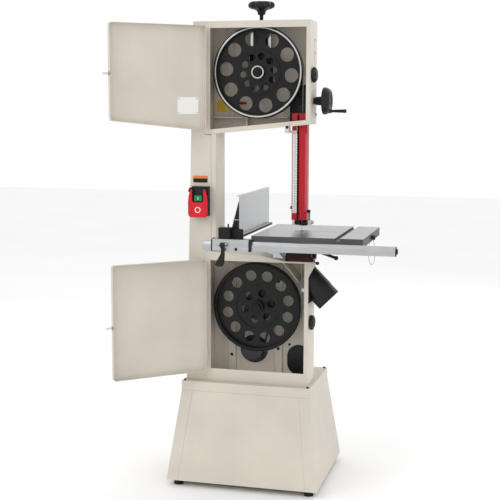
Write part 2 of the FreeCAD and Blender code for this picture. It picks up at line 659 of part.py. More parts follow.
def build_blade_and_drive(shaft):
    x, low_z, high_z = at.wheel_x, at.lower_wheel_z, at.upper_wheel_z
    inside = at.wheel_radius + at.running_gap
    node("blade", loop_plate(at.blade_thickness, (x, low_z, inside), (x, high_z, inside),
                             (at.blade_front, at.blade_front + at.blade_width)))

    belt = (at.belt_y - at.belt_width / 2, at.belt_y + at.belt_width / 2)
    gap = at.running_gap
    node("drive_belt", loop_plate(at.belt_thickness, (at.motor_x, at.motor_z, at.motor_pulley_radius + gap),
                                  (x, low_z, at.wheel_pulley_radius + gap), belt))

    def pulley(radius, px, pz, bore, back):
        core = rod_y(radius, px, belt, pz)
        lips = [rod_y(radius + 3, px, (belt[0] - 2, belt[0]), pz),
                rod_y(radius + 3, px, (belt[1], belt[1] + 2), pz)]
        return cut(fuse(core, *lips), rod_y(bore, px, (belt[0] - 9, back), pz))

    node("lower_shaft", group(shaft, pulley(at.wheel_pulley_radius, x, low_z, at.axle_radius, belt[1] + 9)))
    rotor = rod_y(9, at.motor_x, (belt[0] - 5, at.back_y + 12), at.motor_z)
    node("motor_pulley", group(rotor, pulley(at.motor_pulley_radius, at.motor_x, at.motor_z, 9,
                                             belt[1] + 9)))

    start, end = at.back_y, at.back_y + at.motor_length
    bell = start + 24
    plate = rod_y(at.motor_pulley_radius + 34, at.motor_x, (start, start + 8), at.motor_z)
    case = rod_y(at.motor_radius, at.motor_x, (start + 8, end - 46), at.motor_z)
    bore = rod_y(9 + at.running_gap, at.motor_x, (start - 1, bell), at.motor_z)
    fins = []
    for k in range(24):
        fin = doc.addObject("Part::Box", "Fin")
        bind(fin, "Length", 3)
        bind(fin, "Width", end - 58 - (start + 26))
        bind(fin, "Height", at.motor_radius + 5)
        turn = Rotation(Vector(0, 1, 0), 15 * k)
        shift = turn.multVec(Vector(-1.5, 0, 0))
        place(fin, at.motor_x + shift.x, start + 26, at.motor_z + shift.z, turn)
        fins.append(fin)
    node("motor_housing", cut(fuse(plate, case, *fins), bore))
    cover = fuse(rod_y(at.motor_radius - 1, at.motor_x, (end - 46, end - 8), at.motor_z),
                 rod_y(at.motor_radius - 9, at.motor_x, (end - 8, end), at.motor_z))
    node("motor_fan_cover", cover)
    top = at.motor_z + at.motor_radius
    box_x, box_y, gland_z = (at.motor_x - 48, at.motor_x + 30), (start + 60, start + 130), top + 16
    cover = cut(box(box_x, box_y, (top - 16, top + 28)),
                rod_y(at.motor_radius + 5 + at.running_gap, at.motor_x, (start + 40, start + 150),
                      at.motor_z))
    gland = cut(rod_x(9, (box_x[1], box_x[1] + 18), start + 95, gland_z),
                rod_x(4, (box_x[1] + 6, box_x[1] + 19), start + 95, gland_z))
    node("capacitor_box", group(cover, gland))


# ---------------------------------------------------------------- blade tension and tracking

def build_tension():
    x, z = at.wheel_x, at.upper_wheel_z
    half, tall, gap = at.carriage_half_width, at.carriage_half_height, at.running_gap
    depth = (at.carriage_front, at.carriage_back)
    block = box((x - half, x + half), depth, (z - tall, z + tall))
    screw_bore = rod_z(at.tension_screw_radius + gap, x, at.tension_y, (z + 14, z + tall + 1))
    axle_bore = rod_y(at.axle_radius, x, (at.carriage_front - 1, at.carriage_back + 1), z)
    track_bore = rod_y(at.tracking_radius + gap, x, (at.carriage_back - 9, at.carriage_back + 1),
                       at.tracking_z)
    carriage = cut(block, screw_bore, axle_bore, track_bore)
    axle = fuse(rod_y(at.axle_radius, x, (at.hub_front - 3, at.carriage_back), z),
                rod_y(at.axle_radius + 6, x, (at.hub_front - 10, at.hub_front - 3), z))
    node("wheel_carriage", group(carriage, axle))
    bars = []
    for low, high in ((x - half - gap - at.slide_bar_width, x - half - gap),
                      (x + half + gap, x + half + gap + at.slide_bar_width)):
        bars.append(box((low, high), (at.carriage_front, at.back_y - at.wall),
                        (z - tall - 46, z + tall + 46)))
    knob = at.tension_wheel_z
    collar = at.frame_top_z
    screw = rod_z(at.tension_screw_radius, x, at.tension_y, (z + 16, knob))
    wheel_top = knob + at.tension_wheel_height
    rim = rod_z(at.tension_wheel_radius, x, at.tension_y, (knob, wheel_top))
    grips = []
    for k in range(8):
        turn = math.radians(45 * k)
        reach = at.tension_wheel_radius + 6
        grips.append(rod_z(11, x + reach * math.cos(turn), at.tension_y + reach * math.sin(turn),
                           (knob - 1, wheel_top + 1)))
    hub = cone_z(14, 20, x, at.tension_y, (knob - 18, knob))
    core = rod_z(at.tension_screw_radius, x, at.tension_y, (knob - 19, knob))
    node("tension_handwheel", group(screw, cut(fuse(rim, hub), core, *grips)))
    seat = cut(rod_z(22, x, at.tension_y, (collar, collar + 7)),
               rod_z(at.tension_screw_radius + gap, x, at.tension_y, (collar - 1, collar + 8)))
    node("carriage_slides", group(seat, *bars))

    node("tension_spring", spring(at.tension_screw_radius + 4.3, 1.8, (z + tall + 3, collar - at.wall - 2)))

    back = at.back_y
    knob_end = back + 40
    stem = rod_y(at.tracking_radius, x, (at.carriage_back - 6, back + 16), at.tracking_z)
    knob_body = rod_y(at.tracking_knob_radius, x, (back + 16, knob_end), at.tracking_z)
    notches = []
    for k in range(6):
        turn = math.radians(60 * k)
        reach = at.tracking_knob_radius + 5
        notches.append(rod_y(9, x + reach * math.cos(turn), (back + 15, knob_end + 1),
                             at.tracking_z + reach * math.sin(turn)))
    node("tracking_knob", cut(fuse(stem, knob_body), *notches))


def spring(radius, wire, z):
    """A round-wire coil standing on the screw."""
    turns = 9
    height = z[1].number - z[0].number - 2 * wire
    path = Part.Wire(Part.makeHelix(height / turns, height, radius.number).Edges)
    start = Vector(radius.number, 0, 0)
    circle = Part.Wire(Part.Circle(start, Vector(0, 1, 0), wire).toShape())
    item = doc.addObject("Part::Feature", "Spring")
    item.Shape = path.makePipeShell([circle], True, True)
    item.Placement = Placement(Vector(0, 0, 0), Rotation())
    for letter, value in zip("xyz", (at.wheel_x, at.tension_y, z[0] + wire)):
        bind(item, f"Placement.Base.{letter}", value)
    return item


# ---------------------------------------------------------------- blade guides

def guide_set(block, arm_z, pin_z, arm_front):
    """A block behind the blade, two arms, two side pins and a thrust disc."""
    back_y = at.blade_front + at.blade_width
    blade = (at.wheel_x + at.wheel_radius + at.running_gap, at.wheel_x + at.wheel_radius + at.running_gap
             + at.blade_thickness)
    face = back_y + 6.3
    arms = [box((blade[0] - 24, blade[0] - 12), (arm_front, face), arm_z),
            box((blade[1] + 11, blade[1] + 14.5), (arm_front, face), arm_z)]
    pins = [rod_x(5, (blade[0] - 30, blade[0] - 0.4), at.blade_front + 6, pin_z),
            rod_x(5, (blade[1] + 0.4, blade[1] + 14), at.blade_front + 6, pin_z)]
    thrust = rod_y(9, (blade[0] + blade[1]) / 2, (back_y + 0.8, face), pin_z)
    return fuse(block, thrust, *arms, *pins)


def build_guides():
    left, right = at.post_left, at.post_right
    post = (at.post_front, at.post_back)
    node("guide_post", box((left, right), post, (at.post_bottom, at.post_top)))

    guard, thick = new_body("Guard"), at.guard_sheet
    gl, gr, gf, gb = at.guard_left, at.guard_right, at.guard_front, at.guard_back
    pad_z(guard, [(gl, gf), (gr, gf), (gr, gb), (gr - thick, gb), (gr - thick, gf + thick),
                  (gl + thick, gf + thick), (gl + thick, gf + 12), (gl, gf + 12)],
                  (at.guard_bottom, at.guard_top))
    node("blade_guard", guard)

    face = at.blade_front + at.blade_width + 6.3
    block = box((left - 2, right + 3), (face, post[1]), (at.guide_bottom + 1, at.post_bottom))
    bracket = box((right + 3, gr - thick), (at.guard_front + 14, post[1]),
                  (at.guide_bottom + 7, at.guard_bottom + 24))
    knobs = [rod_x(5.5, (gl - 5.5, gl), gf + 7, at.guard_bottom + 47),
             rod_x(6, (gr, gr + 12), gf + 10, at.guard_bottom + 34)]
    arm_z, pin_z = (at.guide_bottom + 6, at.post_bottom), at.guide_bottom + 14
    guides = guide_set(fuse(block, bracket), arm_z, pin_z, at.blade_front - 8)
    node("upper_blade_guides", group(guides, *knobs))

    base_top = at.lower_right_top + 9
    rear_trunnion = at.trunnion_rear_y - at.trunnion_width / 2
    block = box((left - 2, right + 2), (face, rear_trunnion - 1), (base_top, base_top + 33))
    node("lower_blade_guides", guide_set(block, (base_top + 13, base_top + 29), base_top + 21,
                                         at.blade_front - 3))

    # the black sleeve that carries the post inside the upper cabinet
    gap, floor = at.running_gap, at.upper_right_z + 3
    wall_y = at.back_y - at.wall
    sleeve = [box((left - 10, right + 10), (post[0] - 4, wall_y), (floor, floor + 70)),
              box((left - 10, right + 10), (post[0] - 4, wall_y), (at.post_top + 4, at.post_top + 36)),
              box((left - 53, at.cabinet_right - at.wall), (wall_y - 2, wall_y), (floor, floor + 147))]
    slot = box((left - gap, right + gap), (post[0] - gap, post[1] + gap), (floor - 1, at.post_top + 40))
    node("post_housing", cut(fuse(*sleeve), slot))

    y, z, hub, face_x = at.pinion_y, at.pinion_z, at.crank_hub_end, at.cabinet_right + 0.6
    shaft = rod_x(at.crank_shaft_radius, (left + 16, hub), y, z)
    pinion = rod_x(at.pinion_radius, (left + 16, right + 2), y, z)
    boss = cone_x(13, 17, (face_x, hub), y, z)
    rim = cone_x(at.crank_wheel_radius, at.crank_wheel_radius - 5, (hub, at.crank_wheel_end), y, z)
    hollow = cut(rod_x(at.crank_wheel_radius - 12, (hub - 1, at.crank_wheel_end - 9), y, z),
                 rod_x(17, (hub - 2, at.crank_wheel_end), y, z))
    pin = rod_x(3, (at.crank_wheel_end, at.crank_grip_end - 8), y, z - at.crank_offset)
    node("guide_handwheel", fuse(shaft, pinion, boss, cut(rim, hollow), pin))
    grip = cone_x(at.crank_grip_radius - 1, at.crank_grip_radius + 1,
                  (at.crank_wheel_end + gap, at.crank_grip_end), y, z - at.crank_offset)
    bore = rod_x(3 + at.fit, (at.crank_wheel_end, at.crank_grip_end - 7), y, z - at.crank_offset)
    node("crank_grip", cut(grip, bore))


# ---------------------------------------------------------------- table

def build_table():
    top, bottom = at.table_top, at.table_top - at.table_edge
    blade_x = at.wheel_x + at.wheel_radius + at.running_gap + at.blade_thickness / 2
    blade_y = at.blade_front + at.blade_width / 2
    plate = box((at.table_left, at.table_right), (at.table_front, at.table_back), (bottom, top))
    rib, underside = at.rib_width, (bottom - 1, top - at.table_plate)
    columns = [(at.table_left + rib, at.table_left + 56), (at.table_left + 66, at.table_left + 235),
               (at.table_left + 245, at.table_left + 323), (at.table_left + 333, at.table_right - rib)]
    rows = [(at.table_front + rib, at.table_front + 136), (at.table_front + 168, at.table_front + 222),
            (at.table_front + 254, at.table_front + 341), (at.table_front + 351, at.table_back - rib)]
    cells = [box(column, row, underside) for column in columns for row in rows
             if not (column is columns[1] and row is rows[1])]
    recess = rod_z(at.insert_radius, blade_x, blade_y, (top - at.insert_thickness, top + 1))
    hole = rod_z(at.insert_radius - 4, blade_x, blade_y, (bottom - 1, top))
    kerf = box((blade_x + 26, at.table_right + 1), (blade_y - at.kerf / 2, blade_y + at.kerf / 2),
               (bottom - 1, top + 1))
    mitre = box((at.mitre_left, at.mitre_left + at.mitre_width), (at.table_front - 1, at.table_back + 1),
                (top - at.mitre_depth, top + 1))
    pin_z, pin_x = top - at.table_edge / 2, at.table_right - 34
    pin_seat = rod_x(5, (pin_x, at.table_right + 1), blade_y, pin_z)
    boss = box((at.table_right - 44, at.table_right - 1), (blade_y - 14, blade_y + 14), (bottom, top - 8))
    node("table", cut(fuse(cut(plate, *cells), boss), recess, hole, kerf, mitre, pin_seat))

    disc = rod_z(at.insert_radius, blade_x, blade_y, (top - at.insert_thickness, top))
    slit = box((blade_x - at.insert_slot / 2, blade_x + at.insert_slot / 2), (blade_y - 14, blade_y + 14),
               (top - at.insert_thickness - 1, top + 1))
    node("table_insert", cut(disc, slit))
    node("table_pin", fuse(rod_x(5, (pin_x, at.table_right + 2), blade_y, pin_z),
                           rod_x(9, (at.table_right + 2, at.table_right + 15), blade_y, pin_z)))

    # the curved segments that carry the table, centred on the blade at the table's surface
    gap = at.running_gap
    front = (at.trunnion_front_y - at.trunnion_width / 2, at.trunnion_front_y + at.trunnion_width / 2)
    rear = (at.trunnion_rear_y - at.trunnion_width / 2, at.trunnion_rear_y + at.trunnion_width / 2)
    pivot = at.wheel_x + at.wheel_radius + at.running_gap + at.blade_thickness / 2
    wide = (pivot - at.trunnion_radius, pivot + at.trunnion_radius)
    segments = [common(rod_y(at.trunnion_radius - gap, pivot, y, top),
                       box(wide, y, (top - at.trunnion_radius - 1, bottom))) for y in (front, rear)]
    node("table_trunnions", group(*segments))

    saddle_x = (pivot - at.trunnion_half, pivot + at.trunnion_half)
    base_z = (at.lower_right_top, at.lower_right_top + 9)
    saddles = [box(saddle_x, (y[0] + gap, y[1] - gap), (base_z[0], base_z[1] + 25)) for y in (front, rear)]
    base = box(saddle_x, (front[0] + gap, rear[1] - gap), base_z)
    well = box((pivot - 13, pivot + 13), (at.blade_front - 14, at.blade_front + at.blade_width + 5.5),
               (base_z[0] - 1, base_z[1] + 1))
    seat = rod_y(at.trunnion_radius, pivot, (front[0] - 1, rear[1] + 1), top)
    node("trunnion_bracket", cut(fuse(base, *saddles), seat, well))

    lever_x, lever_z = pivot + 70, top - 56
    stem = rod_y(9, lever_x, (at.trunnion_front_y - 73, front[0] - gap), lever_z)
    arm = rod(5.5, 0, 90, lever_x, at.trunnion_front_y - 67, lever_z, Rotation(Vector(0, 1, 0), 108))
    tip = doc.addObject("Part::Sphere", "Tip")
    bind(tip, "Radius", 8.5)
    reach = Rotation(Vector(0, 1, 0), 108).multVec(Vector(0, 0, 90))
    place(tip, lever_x + reach.x, at.trunnion_front_y - 67, lever_z + reach.z)
    node("table_lock_lever", fuse(stem, arm, tip))


def build_rail_and_fence():
    gap = at.running_gap
    rail = box((at.rail_left, at.rail_right), (at.rail_front, at.rail_back), (at.rail_bottom, at.rail_top))
    groove = box((at.rail_left - 1, at.rail_right + 1), (at.rail_front - 1, at.rail_front + 3),
                 (at.rail_top - 14, at.rail_top - 11))
    end = at.rail_right
    caps = [box((end, end + 4), (at.rail_front, at.rail_back), (at.rail_bottom, at.rail_top)),
            box((at.rail_left - 4, at.rail_left), (at.rail_front, at.rail_back),
                (at.rail_bottom, at.rail_top))]
    node("front_rail", cut(rail, groove))
    node("rail_end_caps", group(*caps))
    # the left bracket hangs below the rail and ends in a gusset, and the right one is a spacer behind it
    edge, sheet = at.table_front, at.bracket_thickness
    face_z = (at.rail_bottom - 32, at.table_top - 25)
    x = at.table_left + 85
    shelf = box((x, x + 45), (at.rail_front + 2, edge), (at.rail_bottom - sheet, at.rail_bottom))
    face = box((x, x + 45), (edge - sheet, edge), face_z)
    web = new_body("BracketWeb")
    pad_x(web, [(at.rail_front + 12, at.rail_bottom - sheet), (edge - sheet, at.rail_bottom - sheet),
                (edge - sheet, face_z[0])], (x + 40, x + 45))
    spacer_x = (at.table_left + 345, at.table_left + 390)
    spacer = box(spacer_x, (at.rail_back, edge), (at.rail_bottom + 4, at.table_top - 25))
    bolts = [rod_y(4, bolt_x, (edge - sheet - 4, edge - 4), at.table_top - 30)
             for bolt_x in (x + 12, x + 33)]
    node("rail_brackets", group(fuse(shelf, face, web, *bolts), spacer))

    left, right = at.carriage_left, at.carriage_right
    lid = box((left, right), (at.rail_front - 8, at.rail_back + 15), (at.rail_top + gap, at.rail_top + 9))
    apron = box((left, right), (at.rail_front - 8, at.rail_front - gap), (at.rail_bottom, at.rail_top + 9))
    lip = box((left, right), (at.rail_back + gap, at.rail_back + 8), (at.rail_bottom + 12, at.rail_top + 9))
    cam_x, cam_z, front = at.cam_x, at.cam_z, at.rail_front - 8
    ears = [box((x, x + 5), (front - 15, front), (cam_z - 8, cam_z + 8)) for x in (cam_x - 14.5,
                                                                                   cam_x + 9.5)]
    pivot_bore = rod_x(4 + at.fit, (cam_x - 16, cam_x + 16), front - 8, cam_z)
    node("fence_carriage", cut(fuse(lid, apron, lip, *ears), pivot_bore))
    low = at.table_top + at.lift
    tall = low + at.fence_height
    plate = box((at.fence_left, at.fence_right), (at.fence_front, at.fence_back), (low, tall))
    lip_top = box((at.fence_left - at.fence_lip, at.fence_left), (at.fence_front, at.fence_back),
                  (tall - 3, tall))
    node("fence_plate", fuse(plate, lip_top))
    block = box((left + 21, left + 66), (at.rail_front + 2, at.rail_back + 15),
                (at.rail_top + 9, at.rail_top + 50))
    stud = rod_z(3, left + 55, at.rail_back - 3, (at.rail_top + 50, at.rail_top + 63))
    ledge = box((at.fence_right, at.fence_right + 14), (at.fence_front, at.fence_back), (low, low + 9))
    sole = box((at.fence_left - 34, at.fence_left), (at.fence_front, at.fence_front + 95), (low, low + 5))
    gussets = []
    for y in (at.fence_front, at.fence_front + 90):
        gusset = new_body("Gusset")
        gussets.append(pad_y(gusset, [(at.fence_left - 34, low), (at.fence_left, low),
                                      (at.fence_left, tall - 22),
                                      (at.fence_left - 2, tall - 22), (at.fence_left - 34, low + 8)],
                                      (y, y + 5)))
    foot = box((left + 66, at.fence_right + 14), (at.fence_front - 8, at.fence_front),
               (at.rail_top + 9, low + 30))
    node("fence_bracket", fuse(block, stud, ledge, sole, foot, *gussets))

    x, z = cam_x, cam_z
    pivot = fuse(rod_x(4, (x - 14.5, x + 14.5), front - 8, z), rod_x(7, (x - 8, x + 8), front - 8, z))
    stalk = box((x - 7, x + 7), (front - 13, front - 5), (z - 46, z))
    paddle = box((x - 30, x + 6), (front - 14, front - 4), (z - 79, z - 40))
    node("fence_cam_lever", fuse(pivot, stalk, paddle))


# ---------------------------------------------------------------- doors, hinges and latches

def door(name, top, bottom_left, bottom_right):
    """A pressed pan with rolled edges, drawn about its hinge line and swung open."""
    body = new_body(name)
    body.Placement = Placement(Vector(0, 0, 0), Rotation(Vector(0, 0, 1), -at.door_open.number))
    bind(body, "Placement.Base.x", at.hinge_x)
    bind(body, "Placement.Base.y", at.hinge_y)
    left, right = at.door_left - at.hinge_x, at.door_right - at.hinge_x
    back = at.front_y - at.door_gap - at.hinge_y
    pad = pad_y(body, [(left, bottom_left), (right, bottom_right), (right, top), (left, top)],
                (back - at.door_depth, back))
    doc.recompute()
    sides, rim = [], []
    for k, edge in enumerate(pad.Shape.Edges, 1):
        ends = [vertex.Point for vertex in edge.Vertexes]
        if abs(ends[0].y - ends[1].y) > 1:
            sides.append(f"Edge{k}")
    rounded = body.newObject("PartDesign::Fillet", "Corners")
    rounded.Base = (pad, sides)
    bind(rounded, "Radius", at.door_corner)
    body.Tip = rounded
    doc.recompute()
    front_y = (back - at.door_depth).number
    for k, edge in enumerate(rounded.Shape.Edges, 1):
        box_y = edge.BoundBox
        if abs(box_y.YMax - box_y.YMin) < 0.01 and abs(box_y.YMin - front_y) < 0.01:
            rim.append(f"Edge{k}")
    rolled = body.newObject("PartDesign::Fillet", "Roll")
    rolled.Base = (rounded, rim)
    bind(rolled, "Radius", at.door_corner / 2)
    body.Tip = rolled
    doc.recompute()
    back_face = next(f"Face{k}" for k, face in enumerate(rolled.Shape.Faces, 1)
                     if abs(face.BoundBox.YMin - back.number) < 0.01)
    shell = body.newObject("PartDesign::Thickness", "Sheet")
    shell.Base = (rolled, [back_face])
    bind(shell, "Value", at.door_sheet)
    shell.Reversed = True
    shell.Join = 0
    body.Tip = shell
    doc.recompute()
    return body


def swung(item):
    """Turn a piece drawn about the hinge line to where the open door carries it."""
    turned = doc.addObject("Part::Compound", "Swung")
    turned.Links = [item]
    turned.Placement = Placement(Vector(0, 0, 0), Rotation(Vector(0, 0, 1), -at.door_open.number))
    bind(turned, "Placement.Base.x", at.hinge_x)
    bind(turned, "Placement.Base.y", at.hinge_y)
    return turned


def build_doors():
    halves, height = [], 30
    doors = (("upper_door", "UpperDoor", at.upper_door_top, at.upper_door_left, at.upper_door_right,
              at.upper_latch_z, (1441, 1683)),
             ("lower_door", "LowerDoor", at.lower_door_top, at.lower_door_bottom, at.lower_door_bottom,
              at.lower_latch_z, (503, 783)))
    for label, name, top, low_left, low_right, latch_z, hinges in doors:
        pan = door(name, top, low_left, low_right)
        fittings = []
        left, right = at.door_left - at.hinge_x, at.door_right - at.hinge_x
        for z in hinges:
            knuckle = rod_z(at.hinge_radius + 1, at.hinge_x, at.hinge_y, (z, z + height))
            leaf = box((at.hinge_x - 1.5, at.hinge_x + 1.5), (at.hinge_y + 1, at.front_y), (z, z + height))
            pin = rod_z(at.hinge_radius - 1, at.hinge_x, at.hinge_y, (z - 2, z + 2 * height + 2))
            halves.append(fuse(knuckle, leaf, pin))
            moving = (z + height + 0.3, z + 2 * height)
            ring_part = fuse(rod_z(at.hinge_radius + 1, 0, 0, moving), box((1, left), (-4, 4), moving))
            fittings.append(cut(ring_part,
                                rod_z(at.hinge_radius - 1 + at.fit, 0, 0, (z, z + 2 * height + 1))))
        fittings.append(rod_x(at.pin_radius, (right, right + at.pin_length), 2, latch_z))
        node(label, group(pan, swung(group(*fittings))))
    node("frame_hinges", group(*halves))

    x, y = at.cabinet_right, at.latch_y
    for label, z in (("upper_latch_knob", at.upper_latch_z), ("lower_latch_knob", at.lower_latch_z)):
        knob = cone_x(at.latch_radius - 2, at.latch_radius, (x + 0.6, x + 7), y, z)
        face = cone_x(at.latch_radius, at.latch_radius - 7, (x + 7, x + at.latch_width), y, z)
        stem = rod_x(at.crank_shaft_radius, (x - 12, x + 1), y, z)
        cam = box((x - 12, x - 6), (y - 26, y + 9), (z - 8, z + 8))
        node(label, fuse(knob, face, stem, cam))


# ---------------------------------------------------------------- switch, dust ports and brush

def build_switch():
    body_y = (at.switch_front, at.front_y)
    button_x, button_z = (at.button_left, at.button_right), (at.button_bottom, at.button_top)
    gap = at.running_gap
    well = box((button_x[0] - gap, button_x[1] + gap), (at.switch_front - 1, at.switch_front + 12),
               (button_z[0] - gap, button_z[1] + gap))
    case = box((at.switch_left, at.switch_right), body_y, (at.switch_bottom, at.switch_top))
    hinge_z = at.paddle_top - 6
    hinge_y = (at.paddle_front + at.paddle_back) / 2
    # two arms rise from the wide pad, one each side of the button; their pins sit in the ears
    arm, corner = at.paddle_arm, at.paddle_corner
    shoulders = (at.window_left - arm, at.window_right + arm)
    ends = (shoulders[0] - 5, shoulders[1] + 5)
    hood = (at.switch_front - 5, at.switch_front + 4)
    ears = [box((x, x + 4), (at.paddle_front, hood[1]), (hinge_z - 5, hinge_z + 5))
            for x in (ends[0], shoulders[1] + 1)]
    posts = [box((x, x + 4), hood, (hinge_z - 5, hinge_z + 12)) for x in (ends[0], shoulders[1] + 1)]
    bar = box(ends, hood, (hinge_z + 9, hinge_z + 12))
    back_plate = box(ends, (at.switch_front, hood[1]), (hinge_z - 5, hinge_z + 9))
    pin_bore = rod_x(2 + at.fit, (ends[0] - 1, ends[1] + 1), hinge_y, hinge_z)
    node("switch_box", cut(fuse(case, bar, back_plate, *ears, *posts), well, pin_bore))
    pins = [rod_x(2, (ends[0], shoulders[0] + 1), hinge_y, hinge_z),
            rod_x(2, (shoulders[1] - 1, ends[1]), hinge_y, hinge_z)]
    left, right, low, top = at.paddle_left, at.paddle_right, at.paddle_bottom, at.paddle_top
    sill = at.window_bottom
    panel = pad_y(new_body("Paddle"), [
        (left + corner, low), (right - corner, low), (right, low + corner), (right, sill),
        (shoulders[1], sill + corner * 2), (shoulders[1], top), (at.window_right, top),
        (at.window_right, sill), (at.window_left, sill), (at.window_left, top), (shoulders[0], top),
        (shoulders[0], sill + corner * 2), (left, sill), (left, low + corner)],
        (at.paddle_front, at.paddle_back))
    node("stop_paddle", fuse(panel, *pins))
    node("start_button", box(button_x, (at.switch_front - 12, at.switch_front + 8), button_z))


def build_dust_ports():
    x, z, radius, wall = at.rear_port_x, at.rear_port_z, at.port_radius, at.port_wall
    back = at.back_y
    flange = rod_y(radius + 8, x, (back, back + 4), z)
    tube = rod_y(radius, x, (back, back + at.rear_port_end), z)
    spigot = rod_y(radius - wall - at.running_gap, x, (back - at.wall, back + 4), z)
    # a blanking plate with round ends closes the port inside the cabinet
    wide, rise, inside = at.blank_radius, at.blank_rise, (back - at.wall - 3, back - at.wall)
    blank = fuse(box((x - wide, x + wide), inside, (z - rise, z + rise)),
                 rod_y(wide, x, inside, z - rise), rod_y(wide, x, inside, z + rise))
    node("rear_dust_port", cut(fuse(flange, tube, spigot, blank),
                               rod_y(radius - wall - 3, x, (back - at.wall, back + 5), z),
                               rod_y(radius - wall, x, (back + 4, back + at.rear_port_end + 1), z)))

    side, y, z = at.cabinet_right, at.chute_y, at.chute_z
    slope = Rotation(Vector(0, 1, 0), 135)
    inside = 60
    run = at.chute_length + inside * math.sqrt(2)

    def slanted(r, end):
        return rod(r, 0, end, side - inside, y, z + inside, slope)

    plate = box((side, side + 4), (y - at.chute_flange_half, y + at.chute_flange_half),
                (at.chute_flange_bottom, at.chute_flange_top))
    outside = box((side, side + 200), (y - 90, y + 90), (z - 200, z + 130))
    pipe = common(fuse(slanted(radius, run), slanted(radius + 1.5, run - at.sleeve_length)), outside)
    node("side_dust_port", cut(fuse(plate, pipe), slanted(radius - wall, run + 1)))

    brush_x = at.wheel_x + at.wheel_radius + 2
    node("wheel_brush", box((brush_x + 1, brush_x + 13), (at.blade_front - 3, at.back_y - at.wall),
                            (at.lower_wheel_z + 70, at.lower_wheel_z + 84)))


# ---------------------------------------------------------------- the table pin's cord

def cord_tube(points, radius):
    """Straight runs joined by tangent arcs through a route chosen by hand."""
    points = [Vector(*point) for point in points]
    edges, start, radii = [], points[0], []
    for before, here, after in zip(points, points[1:], points[2:]):
        inward, outward = here - before, after - here
        trim = 0.45 * min(inward.Length, outward.Length)
        turn = inward.getAngle(outward)
        bend = trim / math.tan(turn / 2)
        inward.normalize()
        outward.normalize()
        entry, leave = here - inward * trim, here + outward * trim
        toward = (outward - inward).normalize()
        middle = here + toward * (bend / math.cos(turn / 2) - bend)
        edges.append(Part.LineSegment(start, entry).toShape())
        edges.append(Part.Arc(entry, middle, leave).toShape())
        start = leave
        radii.append(round(bend, 1))
    edges.append(Part.LineSegment(start, points[-1]).toShape())
    path = Part.Wire(edges)
    circle = Part.Circle(points[0], points[1] - points[0], radius).toShape()
    tube = path.makePipeShell([Part.Wire(circle)], True, False)
    ideal = math.pi * radius ** 2 * path.Length
    print("cord length", round(path.Length, 1), "radii", radii, "volume ratio",
          round(tube.Volume / ideal, 4))
    return tube


CORD = [(481, -91, 985), (482.5, -90, 966), (486, -88, 943), (486.5, -85, 920), (483, -82, 900),
        (476, -79, 888),
        (467.5, -76.5, 889), (462, -74.5, 902), (459.5, -73, 924), (460.5, -72, 950), (464, -72.5, 978)]


def build_cord():
    item = doc.addObject("Part::Feature", "Cord")
    item.Shape = cord_tube(CORD, 1.0)
    node("table_pin_cord", item)


build_stand()
build_column()
build_upper_cabinet()
build_lower_cabinet()
build_blade_and_drive(build_wheels())
build_tension()
build_guides()
build_table()
build_rail_and_fence()
build_doors()
build_switch()
build_dust_ports()
build_cord()

doc.recompute()
broken = [item.Name for item in doc.Objects if {"Invalid", "Error"} & set(item.State)]
broken += [item.Label for item in NODES if item.Shape.isNull() or not item.Shape.isValid()]
if broken:
    sys.exit("failed: " + ", ".join(broken))

os.makedirs("parts", exist_ok=True)
for item in NODES:
    item.Shape.exportStep(f"parts/{item.Label}.step")
print(len(NODES), "nodes")
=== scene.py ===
import math
import bmesh
import bpy
from mathutils import Matrix, Vector
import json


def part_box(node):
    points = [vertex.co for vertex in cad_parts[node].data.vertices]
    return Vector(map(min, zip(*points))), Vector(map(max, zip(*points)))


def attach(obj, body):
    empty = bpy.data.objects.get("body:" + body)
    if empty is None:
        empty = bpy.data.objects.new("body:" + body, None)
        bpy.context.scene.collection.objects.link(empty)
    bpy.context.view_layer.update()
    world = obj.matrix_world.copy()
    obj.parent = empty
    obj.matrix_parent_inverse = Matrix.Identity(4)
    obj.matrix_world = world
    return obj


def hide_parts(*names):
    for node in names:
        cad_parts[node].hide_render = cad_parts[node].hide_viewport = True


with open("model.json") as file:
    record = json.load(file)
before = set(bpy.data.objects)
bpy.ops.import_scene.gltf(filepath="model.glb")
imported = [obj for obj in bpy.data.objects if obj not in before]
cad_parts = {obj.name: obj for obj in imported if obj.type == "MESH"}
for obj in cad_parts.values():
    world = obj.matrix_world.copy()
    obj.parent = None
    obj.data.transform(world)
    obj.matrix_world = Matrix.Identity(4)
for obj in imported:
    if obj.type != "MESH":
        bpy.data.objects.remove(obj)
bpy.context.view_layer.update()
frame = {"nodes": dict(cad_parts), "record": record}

MM = 0.001
BODY_OF = {node: body for body, nodes in frame["record"]["behaviour"]["bodies"].items() for node in nodes}
SLOT_OF = {part["node"]: part["material_slot"] for part in frame["record"]["subparts"]}


# ---------------------------------------------------------------- materials

def shader(name, colour, roughness, metallic=0.0, coat=0.0, specular=0.5):
    """A Principled material with its constants on the shader's own sockets."""
    mat = bpy.data.materials.new(name)
    mat.use_nodes = True
    main = mat.node_tree.nodes["Principled BSDF"]
    main.inputs["Base Color"].default_value = (*colour, 1)
    main.inputs["Roughness"].default_value = roughness
    main.inputs["Metallic"].default_value = metallic
    main.inputs["Coat Weight"].default_value = coat
    main.inputs["Specular IOR Level"].default_value = specular
    return mat, mat.node_tree, main


